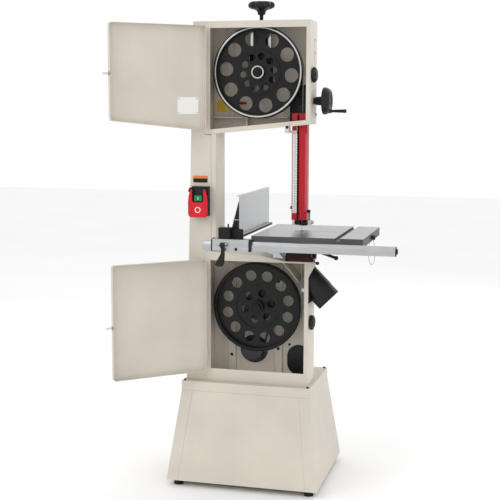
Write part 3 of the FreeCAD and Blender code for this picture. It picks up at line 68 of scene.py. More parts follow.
def noise(tree, scale, detail=4.0, stretch=(1, 1, 1)):
    """Noise in the row frame, so that it sits still on the object."""
    place = tree.nodes.new("ShaderNodeTexCoord")
    fit = tree.nodes.new("ShaderNodeMapping")
    fit.inputs["Scale"].default_value = stretch
    grain = tree.nodes.new("ShaderNodeTexNoise")
    grain.inputs["Scale"].default_value = scale
    grain.inputs["Detail"].default_value = detail
    tree.links.new(place.outputs["Object"], fit.inputs["Vector"])
    tree.links.new(fit.outputs["Vector"], grain.inputs["Vector"])
    return grain.outputs["Fac"]


def ramp(tree, value, stops):
    """Map a value through (position, colour) stops."""
    node = tree.nodes.new("ShaderNodeValToRGB")
    points = node.color_ramp.elements
    points[0].position, points[0].color = stops[0][0], (*stops[0][1], 1)
    points[1].position, points[1].color = stops[-1][0], (*stops[-1][1], 1)
    for position, colour in stops[1:-1]:
        points.new(position).color = (*colour, 1)
    tree.links.new(value, node.inputs["Fac"])
    return node.outputs["Color"]


def span(tree, value, low, high):
    """Map 0..1 to low..high."""
    node = tree.nodes.new("ShaderNodeMapRange")
    node.inputs["To Min"].default_value = low
    node.inputs["To Max"].default_value = high
    tree.links.new(value, node.inputs["Value"])
    return node.outputs["Result"]


def bump(tree, main, value, strength, distance, under=None):
    node = tree.nodes.new("ShaderNodeBump")
    node.inputs["Strength"].default_value = strength
    node.inputs["Distance"].default_value = distance
    tree.links.new(value, node.inputs["Height"])
    if under is not None:
        tree.links.new(under, node.inputs["Normal"])
    tree.links.new(node.outputs["Normal"], main.inputs["Normal"])
    return node.outputs["Normal"]


def shade(colour, factor):
    return tuple(min(1.0, channel * factor) for channel in colour)


def coated(name, colour, roughness, peel=420.0, strength=0.12, spread=0.06, coat=0.0, specular=0.5):
    """Paint or powder coat: a faint orange peel, uneven gloss and slow tone changes."""
    mat, tree, main = shader(name, colour, roughness, coat=coat, specular=specular)
    slow = noise(tree, 5.0, 5.0)
    tone = ramp(tree, slow, [(0.3, shade(colour, 1 - spread)), (0.7, shade(colour, 1 + spread))])
    tree.links.new(tone, main.inputs["Base Color"])
    tree.links.new(span(tree, noise(tree, 60.0, 6.0), roughness - 0.07, roughness + 0.09),
                   main.inputs["Roughness"])
    bump(tree, main, noise(tree, peel, 2.0), strength, 0.0006)
    return mat


def moulded(name, colour, roughness, grain=1400.0, strength=0.25, specular=0.3):
    """Moulded plastic or rubber with a fine pebbled skin and handling marks."""
    mat, tree, main = shader(name, colour, roughness, specular=specular)
    dust = ramp(tree, noise(tree, 35.0, 8.0),
                [(0.35, colour), (0.75, tuple(c * 1.25 + 0.006 for c in colour))])
    tree.links.new(dust, main.inputs["Base Color"])
    tree.links.new(span(tree, noise(tree, 90.0, 5.0), roughness - 0.1, roughness + 0.12),
                   main.inputs["Roughness"])
    bump(tree, main, noise(tree, grain, 2.0), strength, 0.0003)
    return mat


def machined(name, colour, roughness, along, lines=900.0, strength=0.18, metallic=1.0, spread=0.12):
    """Bare metal with fine tool lines along one direction: stretch is small that way."""
    mat, tree, main = shader(name, colour, roughness, metallic=metallic)
    lay = noise(tree, lines, 3.0, stretch=along)
    blotch = noise(tree, 12.0, 6.0)
    tone = ramp(tree, lay, [(0.3, shade(colour, 1 - spread)), (0.7, shade(colour, 1 + spread))])
    mix = tree.nodes.new("ShaderNodeMixRGB")
    mix.blend_type = "MULTIPLY"
    mix.inputs["Fac"].default_value = 0.5
    tree.links.new(tone, mix.inputs["Color1"])
    tree.links.new(ramp(tree, blotch, [(0.3, (0.82, 0.82, 0.82)), (0.75, (1, 1, 1))]), mix.inputs["Color2"])
    tree.links.new(mix.outputs["Color"], main.inputs["Base Color"])
    tree.links.new(span(tree, blotch, roughness - 0.08, roughness + 0.1), main.inputs["Roughness"])
    bump(tree, main, lay, strength, 0.0002)
    return mat


# one material for each slot
MATERIALS = {
    "painted_cream": coated("cream_powder_coat", (0.6, 0.553, 0.482), 0.42, specular=0.3),
    "wheel_paint": coated("black_wheel_paint", (0.006, 0.006, 0.006), 0.3, peel=300, spread=0.3,
                          specular=0.25),
    "tyre_rubber": moulded("tyre_rubber", (0.005, 0.005, 0.005), 0.62, specular=0.15),
    "black_plastic": moulded("black_plastic", (0.005, 0.005, 0.006), 0.42),
    "black_paint": coated("black_paint", (0.006, 0.006, 0.006), 0.4, spread=0.25, specular=0.25),
    "table_iron": machined("ground_cast_iron", (0.39, 0.395, 0.39), 0.3, (1, 0.02, 1)),
    "trunnion_paint": coated("black_casting_paint", (0.007, 0.007, 0.008), 0.5, peel=160, strength=0.5,
                             specular=0.2),
    "red_casting": coated("red_casting_paint", (0.045, 0.0015, 0.002), 0.5, peel=160, strength=0.5,
                          specular=0.2),
    "aluminium_rail": machined("brushed_aluminium", (0.5, 0.51, 0.52), 0.3, (0.02, 1, 1)),
    "bright_steel": machined("turned_steel", (0.58, 0.58, 0.57), 0.22, (1, 0.05, 1)),
    "blade_steel": machined("blade_steel", (0.42, 0.43, 0.45), 0.28, (1, 1, 0.02)),
    "red_paint": coated("red_paint", (0.42, 0.004, 0.012), 0.32, specular=0.3),
    "red_plastic": moulded("red_plastic", (0.55, 0.006, 0.018), 0.32, strength=0.1),
    "insert_plastic": moulded("insert_plastic", (0.4, 0.02, 0.025), 0.4),
    "green_plastic": moulded("green_plastic", (0.005, 0.2, 0.05), 0.3, strength=0.1),
    "foot_rubber": moulded("foot_rubber", (0.007, 0.007, 0.007), 0.7),
    "belt_rubber": moulded("belt_rubber", (0.008, 0.008, 0.008), 0.7),
    "motor_paint": coated("grey_motor_paint", (0.016, 0.017, 0.018), 0.5, peel=220, strength=0.3,
                          specular=0.2),
    "motor_aluminium": machined("cast_aluminium", (0.07, 0.07, 0.075), 0.5, (1, 1, 1), lines=300),
    "spring_steel": machined("spring_steel", (0.2, 0.2, 0.2), 0.35, (1, 1, 1), lines=400),
    "brush_nylon": moulded("white_nylon", (0.75, 0.75, 0.73), 0.6, grain=900, strength=0.6),
    "cord_steel": machined("wire_rope", (0.4, 0.4, 0.4), 0.35, (1, 1, 1), lines=2500, strength=0.6),
}
# tones for pieces or faces that differ from the rest of their slot
LOOKS = {
    "white_plate": coated("white_plate", (0.8, 0.8, 0.78), 0.35, spread=0.04),
    "yellow_plate": coated("yellow_plate", (0.62, 0.42, 0.02), 0.4, spread=0.06),
    "orange_band": coated("orange_band", (0.75, 0.17, 0.02), 0.4, spread=0.06),
    # painted shade and painted highlight: darker and paler copies of the red paint for the guard's fold and
    # return side
    "dark_red": coated("shadowed_red", (0.03, 0.001, 0.001), 0.5, spread=0.1, specular=0.1),
    "lit_side_red": coated("highlit_red", (0.5, 0.06, 0.09), 0.35, spread=0.1),
    # dark grey for the table's faces below its top: partly the casting's own tone, partly painted shade
    "cast_iron": coated("rough_iron_and_painted_shade", (0.07, 0.07, 0.07), 0.5, peel=180, strength=0.5, spread=0.2),
    "insert_grey": moulded("insert_grey", (0.28, 0.28, 0.28), 0.4),
    # dark steel for the guide post; on the lower shaft it is painted shade behind the lower wheel
    "dark_steel": machined("dark_steel_and_painted_shade", (0.03, 0.03, 0.032), 0.45, (1, 1, 0.05)),
}


# ---------------------------------------------------------------- pieces from the frame

def finish_piece(piece, body, slot, replaced=(), look=None):
    """Give a piece the material of its look or slot, put it on its body and hide the CAD nodes it stands for.
    """
    piece.data.materials.clear()
    piece.data.materials.append(look or MATERIALS[slot])
    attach(piece, body)
    if replaced:
        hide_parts(*replaced)
    return piece


def soften(piece, width, segments=2, angle=35):
    """Break the sharp edges and keep the flat faces looking flat."""
    piece.data.shade_smooth()
    bevel = piece.modifiers.new("Bevel", "BEVEL")
    bevel.width = width * MM
    bevel.segments = segments
    bevel.limit_method = "ANGLE"
    bevel.angle_limit = math.radians(angle)
    bevel.use_clamp_overlap = True
    even = piece.modifiers.new("Even", "WEIGHTED_NORMAL")
    even.keep_sharp = False
    even.weight = 80
    return piece


def linked(name, data):
    piece = bpy.data.objects.new(name, data)
    bpy.context.scene.collection.objects.link(piece)
    return piece


def skin(node, width, segments=2):
    """The CAD node's own shape with its edges broken, as paint, casting and moulding leave them."""
    mesh = frame["nodes"][node].data.copy()
    mesh.name = node + "_skin"
    bm = bmesh.new()
    bm.from_mesh(mesh)
    bmesh.ops.remove_doubles(bm, verts=bm.verts, dist=1e-6)
    bmesh.ops.dissolve_limit(bm, angle_limit=math.radians(0.8), verts=bm.verts, edges=bm.edges)
    bm.to_mesh(mesh)
    bm.free()
    piece = soften(linked(node + "_skin", mesh), width, segments)
    return finish_piece(piece, BODY_OF[node], SLOT_OF[node], (node,))


def mesh_piece(name, bm):
    bmesh.ops.recalc_face_normals(bm, faces=bm.faces)
    mesh = bpy.data.meshes.new(name)
    bm.to_mesh(mesh)
    bm.free()
    return linked(name, mesh)


# ---------------------------------------------------------------- places and shapes, in mm

def mm_box(node):
    """A node's lowest and highest corners at rest, in mm."""
    low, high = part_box(node)
    return Vector(low) / MM, Vector(high) / MM


def axes_of(axis):
    """The two other axes, in order, for an axis given as 0, 1 or 2."""
    return [k for k in range(3) if k != axis]


def middle_of(low, high, axis):
    """The middle of a box in the two axes other than the given one."""
    across, up = axes_of(axis)
    return (low[across] + high[across]) / 2, (low[up] + high[up]) / 2


def around(centre, radius, count, start=0.0):
    """Points evenly round a centre."""
    for k in range(count):
        turn = math.radians(start) + 2 * math.pi * k / count
        yield centre[0] + radius * math.cos(turn), centre[1] + radius * math.sin(turn)


def hexagon(centre, size, start=0.0):
    return list(around(centre, size, 6, start))


def rounded(x, z, radius, steps=5):
    """A rectangle's outline with round corners."""
    corners = [(x[1] - radius, z[1] - radius, 0), (x[0] + radius, z[1] - radius, 90),
               (x[0] + radius, z[0] + radius, 180), (x[1] - radius, z[0] + radius, 270)]
    points = []
    for cx, cz, start in corners:
        for k in range(steps + 1):
            turn = math.radians(start + 90 * k / steps)
            points.append((cx + radius * math.cos(turn), cz + radius * math.sin(turn)))
    return points


def ring_at(bm, outline, axis, level):
    """Add an outline's points, given in the two other axes, at one level along an axis."""
    across, up = axes_of(axis)
    ring = []
    for a, b in outline:
        spot = [0, 0, 0]
        spot[across], spot[up], spot[axis] = a * MM, b * MM, level * MM
        ring.append(bm.verts.new(spot))
    return ring


def join_rings(bm, rings, closed=False):
    """Put faces between rings of equal count, and cap the two ends or close the loop."""
    pairs = list(zip(rings, rings[1:]))
    if closed:
        pairs.append((rings[-1], rings[0]))
    else:
        bm.faces.new(rings[0])
        bm.faces.new(rings[-1][::-1])
    for one, other in pairs:
        for k in range(len(one)):
            following = (k + 1) % len(one)
            bm.faces.new((one[k], other[k], other[following], one[following]))


def prism(bm, outline, axis, low, high):
    """Add an outline in the two other axes, drawn out along an axis."""
    join_rings(bm, [ring_at(bm, outline, axis, level) for level in (low, high)])


def block(bm, x, y, z):
    prism(bm, [(x[0], y[0]), (x[1], y[0]), (x[1], y[1]), (x[0], y[1])], 2, z[0], z[1])


def turned(bm, profile, axis, centre, count=96, closed=False):
    """Add a turned shape: (place along the axis, radius) pairs, about a centre in the other axes."""
    rings = [ring_at(bm, around(centre, radius, count), axis, along) for along, radius in profile]
    join_rings(bm, rings, closed)


def lobed(bm, profile, axis, centre, lobes, depth, count=120):
    """A turned shape whose radius swells and dips round the edge, for fingers."""
    rings = []
    for along, radius, grip in profile:
        outline = []
        for k in range(count):
            turn = 2 * math.pi * k / count
            reach = radius - grip * depth * (0.5 - 0.5 * math.cos(lobes * turn)) ** 2
            outline.append((centre[0] + reach * math.cos(turn), centre[1] + reach * math.sin(turn)))
        rings.append(ring_at(bm, outline, axis, along))
    join_rings(bm, rings)


def ring_of(inner, outer, low, high):
    """The profile of a flat ring."""
    return [(low, inner), (low, outer), (high, outer), (high, inner)]


def screw_heads(name, places, axis, seat, body, size=5.0, height=3.5, slot="black_paint"):
    """Hexagon heads on washers, standing on the seat towards height's sign."""
    bm = bmesh.new()
    sign = 1 if height > 0 else -1
    for place in places:
        turned(bm, [(seat, size * 1.5), (seat + sign * 1.0, size * 1.4)], axis, place, 24)
        prism(bm, hexagon(place, size), axis, seat + sign * 0.9, seat + height)
    return finish_piece(soften(mesh_piece(name, bm), 0.4), body, slot)


# ---------------------------------------------------------------- skins

SOFT_EDGES = {
    "stand_front_panel": 0.7, "stand_rear_panel": 0.7, "stand_side_panels": 0.9, "stand_top": 1.5,
    "column": 1.4, "throat_wall": 1.2, "upper_cabinet": 1.2, "lower_cabinet": 1.2, "rubber_feet": 3.0,
    "upper_wheel": 1.0, "lower_wheel": 1.0, "upper_tyre": 1.2, "lower_tyre": 1.2,
    "lower_bearing_housing": 1.0, "motor_housing": 0.8, "motor_fan_cover": 4.0, "capacitor_box": 3.0,
    "wheel_carriage": 1.5, "carriage_slides": 1.0, "tracking_knob": 3.0, "guide_post": 1.0,
    "blade_guard": 0.7, "frame_hinges": 0.5, "upper_blade_guides": 0.8, "lower_blade_guides": 0.8,
    "post_housing": 1.0, "crank_grip": 2.0, "table": 0.9, "table_insert": 0.3, "table_pin": 1.5,
    "table_trunnions": 1.2, "trunnion_bracket": 1.5, "table_lock_lever": 2.0, "rail_brackets": 0.8,
    "fence_carriage": 1.4, "fence_plate": 0.7, "fence_bracket": 0.8, "upper_door": 0.4,
    "lower_door": 0.4, "switch_box": 3.0, "start_button": 2.0, "rear_dust_port": 0.8,
    "side_dust_port": 0.8, "wheel_brush": 1.0, "stand_bolts": 1.2,
}
SKINS = {node: skin(node, width) for node, width in SOFT_EDGES.items()}


def faced(piece, look, chosen):
    """Give the faces that pass a test a second material."""
    piece.data.materials.append(look)
    for face in piece.data.polygons:
        if chosen(face):
            face.material_index = len(piece.data.materials) - 1


def dress_table():
    """Only the top is ground; the edges, slot and ribs are as cast, and their dark tone is partly painted
    shade.
    """
    top = mm_box("table")[1].z
    # every face below the top takes the dark grey, partly as-cast iron and partly painted shade
    faced(SKINS["table"], LOOKS["cast_iron"], lambda face: face.center.z / MM < top - 0.3)
    low, high = mm_box("table_insert")
    reach = (high.x - low.x) / 2
    faced(SKINS["table_insert"], LOOKS["insert_grey"], lambda face: face.normal.z > 0.5)
    bm = bmesh.new()
    edge = ring_of(reach - 2.6, reach - 0.4, high.z - 1, high.z + 0.05)
    turned(bm, edge, 2, middle_of(low, high, 2), closed=True)
    finish_piece(mesh_piece("insert_edge", bm), "table", "insert_plastic")


def dress_guide_post():
    SKINS["guide_post"].data.materials[0] = LOOKS["dark_steel"]


# ---------------------------------------------------------------- wheels

HUB_RADIUS = 24.6
BORE_RADIUS = 19.5
NUT_SIZE = 15.5


def wheel_rim_edge(node, slot):
    low, high = mm_box(node)
    outer = (high.x - low.x) / 2
    front = mm_box(node.replace("wheel", "tyre"))[0].y
    profile = [(front + 0.8, outer - 7.4), (front - 0.5, outer - 6.4), (front - 0.9, outer - 4),
               (front - 0.5, outer - 0.6), (front + 0.8, outer + 0.4)]
    bm = bmesh.new()
    turned(bm, profile, 1, middle_of(low, high, 1), 160, closed=True)
    finish_piece(soften(mesh_piece(node + "_rim_edge", bm), 0.3), node, slot)


def wheel_hub_ring(node, slot):
    low, high = mm_box(node)
    bm = bmesh.new()
    ring = ring_of(BORE_RADIUS, HUB_RADIUS, low.y - 0.7, low.y + 1)
    turned(bm, ring, 1, middle_of(low, high, 1), closed=True)
    finish_piece(soften(mesh_piece(node + "_hub_ring", bm), 0.4), node, slot)


def axle_nut(node, axle, body):
    """A washer over the bore, a nut on the axle's front and the axle's threaded end."""
    low, high = mm_box(node)
    centre = middle_of(low, high, 1)
    front = mm_box(axle)[0].y
    bm = bmesh.new()
    turned(bm, ring_of(0.2, BORE_RADIUS - 0.2, low.y - 0.2, low.y + 1), 1, centre, closed=True)
    prism(bm, hexagon(centre, NUT_SIZE, 8), 1, front - 3.5, front + 3)
    turned(bm, [(front - 6, 5.5), (front - 5.5, 6.5), (front, 6.5)], 1, centre, 32)
    finish_piece(soften(mesh_piece(node + "_nut", bm), 0.6), body, "black_paint")


def build_wheel_trim():
    wheel_rim_edge("upper_wheel", "bright_steel")
    wheel_hub_ring("upper_wheel", "bright_steel")
    axle_nut("upper_wheel", "wheel_carriage", "upper_carriage")
    wheel_rim_edge("lower_wheel", "wheel_paint")
    wheel_hub_ring("lower_wheel", "black_paint")
    axle_nut("lower_wheel", "lower_shaft", "lower_wheel")


# ---------------------------------------------------------------- doors

JOINTS = {joint["name"]: joint for joint in frame["record"]["behaviour"]["joints"]}


def on_door(piece, door, slot, look=None):
    """Move a piece drawn on the closed door to where the open door carries it at rest."""
    joint = JOINTS[door + "_swing"]
    hinge = Vector(joint["pos_m"])
    turn = Matrix.Rotation(-math.radians(joint["range_deg"][1]), 4, "Z")
    finish_piece(piece, door, slot, look=look)
    piece.data.transform(Matrix.Translation(hinge) @ turn @ Matrix.Translation(-hinge))


def build_door_pins():
    """The pin at each door's free edge that the latch draws in, and its moulded boss."""
    cabinet_low, cabinet_high = mm_box("upper_cabinet")
    free = cabinet_high.x - 10
    pin_y = cabinet_low.y - 11
    for label in ("upper", "lower"):
        low, high = mm_box(label + "_latch_knob")
        place = (pin_y, (low.z + high.z) / 2)
        bm = bmesh.new()
        turned(bm, [(free - 1.2, 5.2), (free + 1.5, 5.2), (free + 1.5, 3.3), (free + 22, 3.3),
                    (free + 24.5, 1.8)], 0, place, 24)
        on_door(soften(mesh_piece(label + "_door_pin", bm), 0.5), label + "_door", "bright_steel")
        bm = bmesh.new()
        turned(bm, [(free - 4, 7.5), (free + 1.2, 7.5), (free + 1.2, 5)], 0, place, 24)
        on_door(soften(mesh_piece(label + "_door_pin_boss", bm), 0.5), label + "_door", "black_plastic")


def build_door_plate():
    """A blank riveted plate inside the upper door."""
    cabinet = mm_box("upper_cabinet")[0]
    inner = cabinet.y - 21.0
    x, z = (cabinet.x + 40, cabinet.x + 126), (cabinet.z + 79, cabinet.z + 143)
    bm = bmesh.new()
    prism(bm, rounded(x, z, 5), 1, inner - 0.3, inner + 0.7)
    on_door(soften(mesh_piece("door_plate", bm), 0.2), "upper_door", "brush_nylon", LOOKS["white_plate"])
    bm = bmesh.new()
    for rivet_x in (x[0] + 6, x[1] - 6):
        for rivet_z in (z[0] + 6, z[1] - 6):
            turned(bm, [(inner + 0.6, 3.2), (inner + 1.6, 2.6), (inner + 2.1, 1.0)], 1,
                   (rivet_x, rivet_z), 20)
    on_door(mesh_piece("door_plate_rivets", bm), "upper_door", "bright_steel")


# ---------------------------------------------------------------- guard, scale and guides

INCH_QUARTER = 6.35
CENTIMETRE = 10.0


def build_guard_scale():
    low, high = mm_box("blade_guard")
    face = low.y
    left, right = low.x + 3.0, low.x + 20.0
    bottom, top = low.z + 27, high.z - 76
    bm = bmesh.new()
    block(bm, (left, right), (face - 0.6, face + 0.3), (bottom, top))
    finish_piece(soften(mesh_piece("scale_strip", bm), 0.2), "guide_post", "brush_nylon",
                 look=LOOKS["white_plate"])
    bm = bmesh.new()
    block(bm, (left + 7.0, left + 12.0), (face - 0.75, face - 0.5), (bottom + 2, top - 2))
    finish_piece(mesh_piece("scale_groove", bm), "guide_post", "aluminium_rail")
    # inch and centimetre marks up the strip's two sides
    bm = bmesh.new()
    for step, side in ((INCH_QUARTER, left + 0.6), (CENTIMETRE, right - 4.4)):
        for k in range(int((top - bottom - 8) / step) + 1):
            z = bottom + 4 + step * k
            block(bm, (side, side + 3.8), (face - 0.8, face - 0.5), (z - 0.8, z + 0.8))
    finish_piece(mesh_piece("scale_marks", bm), "guide_post", "black_paint")


def build_guard_folds():
    """The fold beside the scale, in a darker red that is painted shade, and the return side, in a paler red
    that is a painted highlight.
    """
    low, high = mm_box("blade_guard")
    face = low.y
    bm = bmesh.new()
    block(bm, (low.x + 20.5, low.x + 28.5), (face - 0.35, face + 0.3), (low.z + 2, high.z - 4))
    # the fold's darker red is painted shade
    finish_piece(mesh_piece("guard_fold", bm), "guide_post", "red_paint", look=LOOKS["dark_red"])
    bm = bmesh.new()
    block(bm, (high.x - 8.0, high.x - 1.0), (face - 0.35, face + 0.3), (low.z + 34, high.z - 76))
    # the return side's paler red is a painted highlight
    finish_piece(soften(mesh_piece("guard_side", bm), 0.3), "guide_post", "red_paint",
                 look=LOOKS["lit_side_red"])


def build_scale_pointer():
    """A folded bracket at the end of the upper cabinet's lip reaches round the guard."""
    guard = mm_box("blade_guard")[0]
    cabinet = mm_box("upper_cabinet")[0]
    bottom, top = cabinet.z + 9, cabinet.z + 45
    seat = cabinet.y - 1.6
    front = guard.y - 4.5
    bm = bmesh.new()
    block(bm, (guard.x - 22, guard.x - 4.5), (seat, cabinet.y + 0.2), (bottom, top))
    block(bm, (guard.x - 6, guard.x - 4.5), (seat, front), (bottom, top))
    block(bm, (guard.x - 6, guard.x + 21), (front, front + 1.5), (bottom, bottom + 9))
    block(bm, (guard.x + 19.5, guard.x + 21), (front, front + 1.5), (bottom, bottom + 30))
    finish_piece(soften(mesh_piece("scale_pointer", bm), 0.4), "frame", "painted_cream")
    screw_heads("pointer_screw", [(guard.x - 13, bottom + 22)], 1, cabinet.y - 1.4, "frame", 4, -3)


def build_guide_metal():
    """Steel clamp blocks and pins, and moulded rollers, on the upper blade guides."""
    guides = mm_box("upper_blade_guides")[0]
    blade_low, blade_high = mm_box("blade")
    post = mm_box("guide_post")[1].x
    edge = blade_low.y
    z = guides.z + 15
    bm = bmesh.new()
    block(bm, (guides.x + 5, guides.x + 15), (edge - 12, edge + 16), (z - 9, z + 10))
    block(bm, (post + 12, post + 26), (edge - 6, edge + 20), (z - 9, z + 9))
    turned(bm, [(post + 24, 6), (post + 33, 6), (post + 34, 5)], 0, (edge + 7, z + 1), 28)
    turned(bm, [(post + 24, 8), (post + 29, 8)], 0, (edge + 7, z + 1), 28)
    finish_piece(soften(mesh_piece("guide_clamps", bm), 0.8), "guide_post", "bright_steel")
    bm = bmesh.new()
    blade_x = blade_high.x - 0.35
    for offset in (-13.0, 13.0):
        turned(bm, [(z - 4, 8.5), (z - 3.4, 9.2), (z + 3.4, 9.2), (z + 4, 8.5)], 2,
               (blade_x + offset, edge - 13), 40)
    finish_piece(soften(mesh_piece("guide_rollers", bm), 0.5), "guide_post", "black_plastic")


# ---------------------------------------------------------------- rail and fence

def build_rail():
    low, high = mm_box("front_rail")
    tall = high.z - low.z
    middle = (low.z + high.z) / 2
    outline = [(low.y + 1.5, low.z), (high.y, low.z), (high.y, high.z), (low.y + 7, high.z),
               (low.y + 1.2, high.z - 0.32 * tall), (low.y, high.z - 0.36 * tall), (low.y, low.z + 1.5)]
    bm = bmesh.new()
    prism(bm, outline, 0, low.x, high.x)
    finish_piece(soften(mesh_piece("front_rail_extrusion", bm), 0.6), "table", "aluminium_rail",
                 ("front_rail",))
    bm = bmesh.new()
    prism(bm, outline, 0, high.x, high.x + 3)
    tip = [(low.y + 3, middle - 9), (high.y - 2, middle - 9), (high.y - 2, middle + 9),
           (low.y + 7, middle + 9)]
    prism(bm, tip, 0, high.x + 2.5, high.x + 8)
    finish_piece(soften(mesh_piece("rail_cap_right", bm), 2.0, 3), "table", "black_plastic",
                 ("rail_end_caps",))
    bm = bmesh.new()
    prism(bm, outline, 0, low.x - 3, low.x)
    finish_piece(soften(mesh_piece("rail_cap_left", bm), 1.0), "table", "aluminium_rail")


def build_carriage_trim():
    """The fence carriage's moulded ends, which follow its channel, its ribs and its screw."""
    low, high = mm_box("fence_carriage")
    rail_low, rail_high = mm_box("front_rail")
    front, lip = low.y + 15, rail_low.z + 11
    profile = [(front - 0.8, rail_low.z - 1), (rail_low.y - 0.6, rail_low.z - 1),
               (rail_low.y - 0.6, rail_high.z + 0.6), (rail_high.y + 0.6, rail_high.z + 0.6),
               (rail_high.y + 0.6, lip), (high.y + 0.8, lip), (high.y + 0.8, high.z + 0.8),
               (front + 2, high.z + 0.8), (front - 0.8, high.z - 6)]
    bm = bmesh.new()
    prism(bm, profile, 0, high.x - 1, high.x + 8)
    prism(bm, profile, 0, low.x - 4, low.x + 1)
    finish_piece(soften(mesh_piece("carriage_ends", bm), 0.8), "fence", "black_plastic")
    bm = bmesh.new()
    x = (low.x + 2, high.x - 2)
    block(bm, x, (front - 1.6, front + 0.3), (rail_high.z - 16, rail_high.z - 9))
    block(bm, x, (front - 1.2, front + 0.3), (rail_low.z + 0.5, rail_low.z + 4))
    finish_piece(soften(mesh_piece("carriage_ribs", bm), 0.5), "fence", "aluminium_rail")
    screw_heads("carriage_screw", [(low.x + 91, rail_low.z + 7)], 1, front - 0.4, "fence", 4, -3)


def build_fence_trim():
    """Fine ribs along the fence's foot, and the brace at its front end."""
    low, high = mm_box("fence_plate")
    bm = bmesh.new()
    for k in range(3):
        x = high.x + 3.2 + 4 * k
        block(bm, (x, x + 1.6), (low.y + 1, high.y - 1), (low.z + 8.6, low.z + 9.8))
    finish_piece(soften(mesh_piece("fence_foot_ribs", bm), 0.3), "fence", "aluminium_rail")
    bm = bmesh.new()
    block(bm, (low.x - 14, high.x - 4), (low.y - 1.2, low.y + 0.3), (low.z + 62, low.z + 64.5))
    finish_piece(mesh_piece("fence_brace", bm), "fence", "aluminium_rail")


def build_cam_lever():
    """A stalk that widens to a curved thumb paddle."""
    low, high = mm_box("fence_cam_lever")
    x = high.x - 14.5
    front = low.y
    outline = [(x - 7, high.z - 1), (x + 7, high.z - 1), (x + 6.5, high.z - 34), (x + 7, low.z + 44),
               (x + 5, low.z + 16), (x + 1, low.z + 3), (x - 6, low.z), (x - 24, low.z + 1),
               (x - 29, low.z + 6), (x - 27, low.z + 14), (x - 17, low.z + 30), (x - 9, low.z + 44),
               (x - 6.5, high.z - 34)]
    pivot = [(x - 14.5, 4), (x - 14.4, 7.5), (x - 8.5, 7.5), (x - 8.5, 9), (x + 8.5, 9), (x + 8.5, 7.5),
             (x + 14.4, 7.5), (x + 14.5, 4)]
    bm = bmesh.new()
    prism(bm, outline, 1, front + 1, front + 10)
    turned(bm, pivot, 0, (front + 7, high.z - 8), 32)
    piece = soften(mesh_piece("cam_lever", bm), 2.4, 3)
    finish_piece(piece, "fence_cam_lever", "black_plastic", ("fence_cam_lever",))


# ---------------------------------------------------------------- knobs and handwheels

def build_tension_handwheel():
    low, high = mm_box("tension_handwheel")
    centre = middle_of(low, high, 2)
    reach, top = (high.x - low.x) / 2, high.z
    profile = [(top - 50, 12, 0), (top - 47, 15, 0), (top - 40, 15.5, 0), (top - 38, 17, 0),
               (top - 34, 19, 0), (top - 30, 27, 0.1), (top - 26, reach - 10, 0.5),
               (top - 21, reach - 2, 1), (top - 14, reach, 1), (top - 8, reach - 1, 1),
               (top - 3, reach - 5, 0.9), (top - 0.8, reach - 11, 0.6), (top, reach - 20, 0.2),
               (top, 14, 0), (top - 2, 11, 0), (top - 2, 2, 0)]
    bm = bmesh.new()
    lobed(bm, profile, 2, centre, 8, 7.0)
    piece = mesh_piece("tension_knob", bm)
    piece.data.shade_smooth()
    finish_piece(piece, "tension_wheel", "black_plastic")
    bm = bmesh.new()
    turned(bm, [(low.z, 7), (top - 46, 7)], 2, centre, 40)
    for k in range(24):
        z = top - 74 + 1.1 * k
        turned(bm, ring_of(6.5, 7.6, z, z + 0.6), 2, centre, 32, closed=True)
    piece = soften(mesh_piece("tension_screw", bm), 0.2)
    finish_piece(piece, "tension_wheel", "black_paint", ("tension_handwheel",))


def build_guide_handwheel():
    low, high = mm_box("guide_handwheel")
    grip_low, grip_high = mm_box("crank_grip")
    reach = (high.y - low.y) / 2
    face = mm_box("upper_cabinet")[1].x
    inner, outer = face + 37.5, grip_low.x - 4
    profile = [(low.x, 6), (low.x + 0.1, 10), (low.x + 12, 10), (low.x + 12.1, 6), (face + 0.6, 6),
               (face + 0.7, 12.5), (face + 5, 12.5), (face + 8, 15), (inner - 4, 18), (inner + 1, 24),
               (inner + 2, reach - 9), (inner - 1, reach - 5), (inner - 0.5, reach - 1.5),
               (inner + 4, reach), (inner + 11, reach - 0.5), (inner + 19, reach - 4),
               (outer - 5, reach - 8), (outer - 2, reach - 13), (outer - 4, reach - 20),
               (outer - 9, 22), (outer - 9, 14), (outer - 5, 11), (outer - 5, 1)]
    stud = [(outer - 12, 9), (outer - 1, 7.5), (grip_low.x - 0.6, 6), (grip_low.x - 0.4, 3),
            (grip_high.x - 8.2, 3)]
    bm = bmesh.new()
    turned(bm, profile, 0, middle_of(low, high, 0), 96)
    turned(bm, stud, 0, middle_of(grip_low, grip_high, 0), 28)
    piece = soften(mesh_piece("guide_wheel", bm), 0.8, 2, 50)
    finish_piece(piece, "guide_crank", "black_plastic", ("guide_handwheel",))


def build_latch_knobs():
    face = mm_box("upper_cabinet")[1].x
    for label in ("upper", "lower"):
        low, high = mm_box(label + "_latch_knob")
        reach = (high.z - low.z) / 2
        centre = (high.y - reach, (low.z + high.z) / 2)
        profile = [(face + 0.6, 12, 0), (face + 1.5, reach - 5, 0.3), (face + 4, reach - 1, 0.8),
                   (face + 8, reach, 1), (face + 13, reach - 1.5, 1), (face + 17, reach - 6, 0.8),
                   (face + 20, reach - 13, 0.3), (face + 21, reach - 20, 0), (face + 20.5, 4, 0)]
        bm = bmesh.new()
        lobed(bm, profile, 0, centre, 7, 4.5, 112)
        piece = mesh_piece(label + "_latch_grip", bm)
        piece.data.shade_smooth()
        finish_piece(piece, label + "_latch", "black_plastic")
        bm = bmesh.new()
        turned(bm, [(low.x, 6), (face + 3, 6)], 0, centre, 28)
        block(bm, (low.x, low.x + 6), (low.y, centre[0] + 9), (centre[1] - 8, centre[1] + 8))
        cam = soften(mesh_piece(label + "_latch_cam", bm), 1.0)
        finish_piece(cam, label + "_latch", "bright_steel", (label + "_latch_knob",))


# ---------------------------------------------------------------- switch

PADDLE_ARM = 8.5


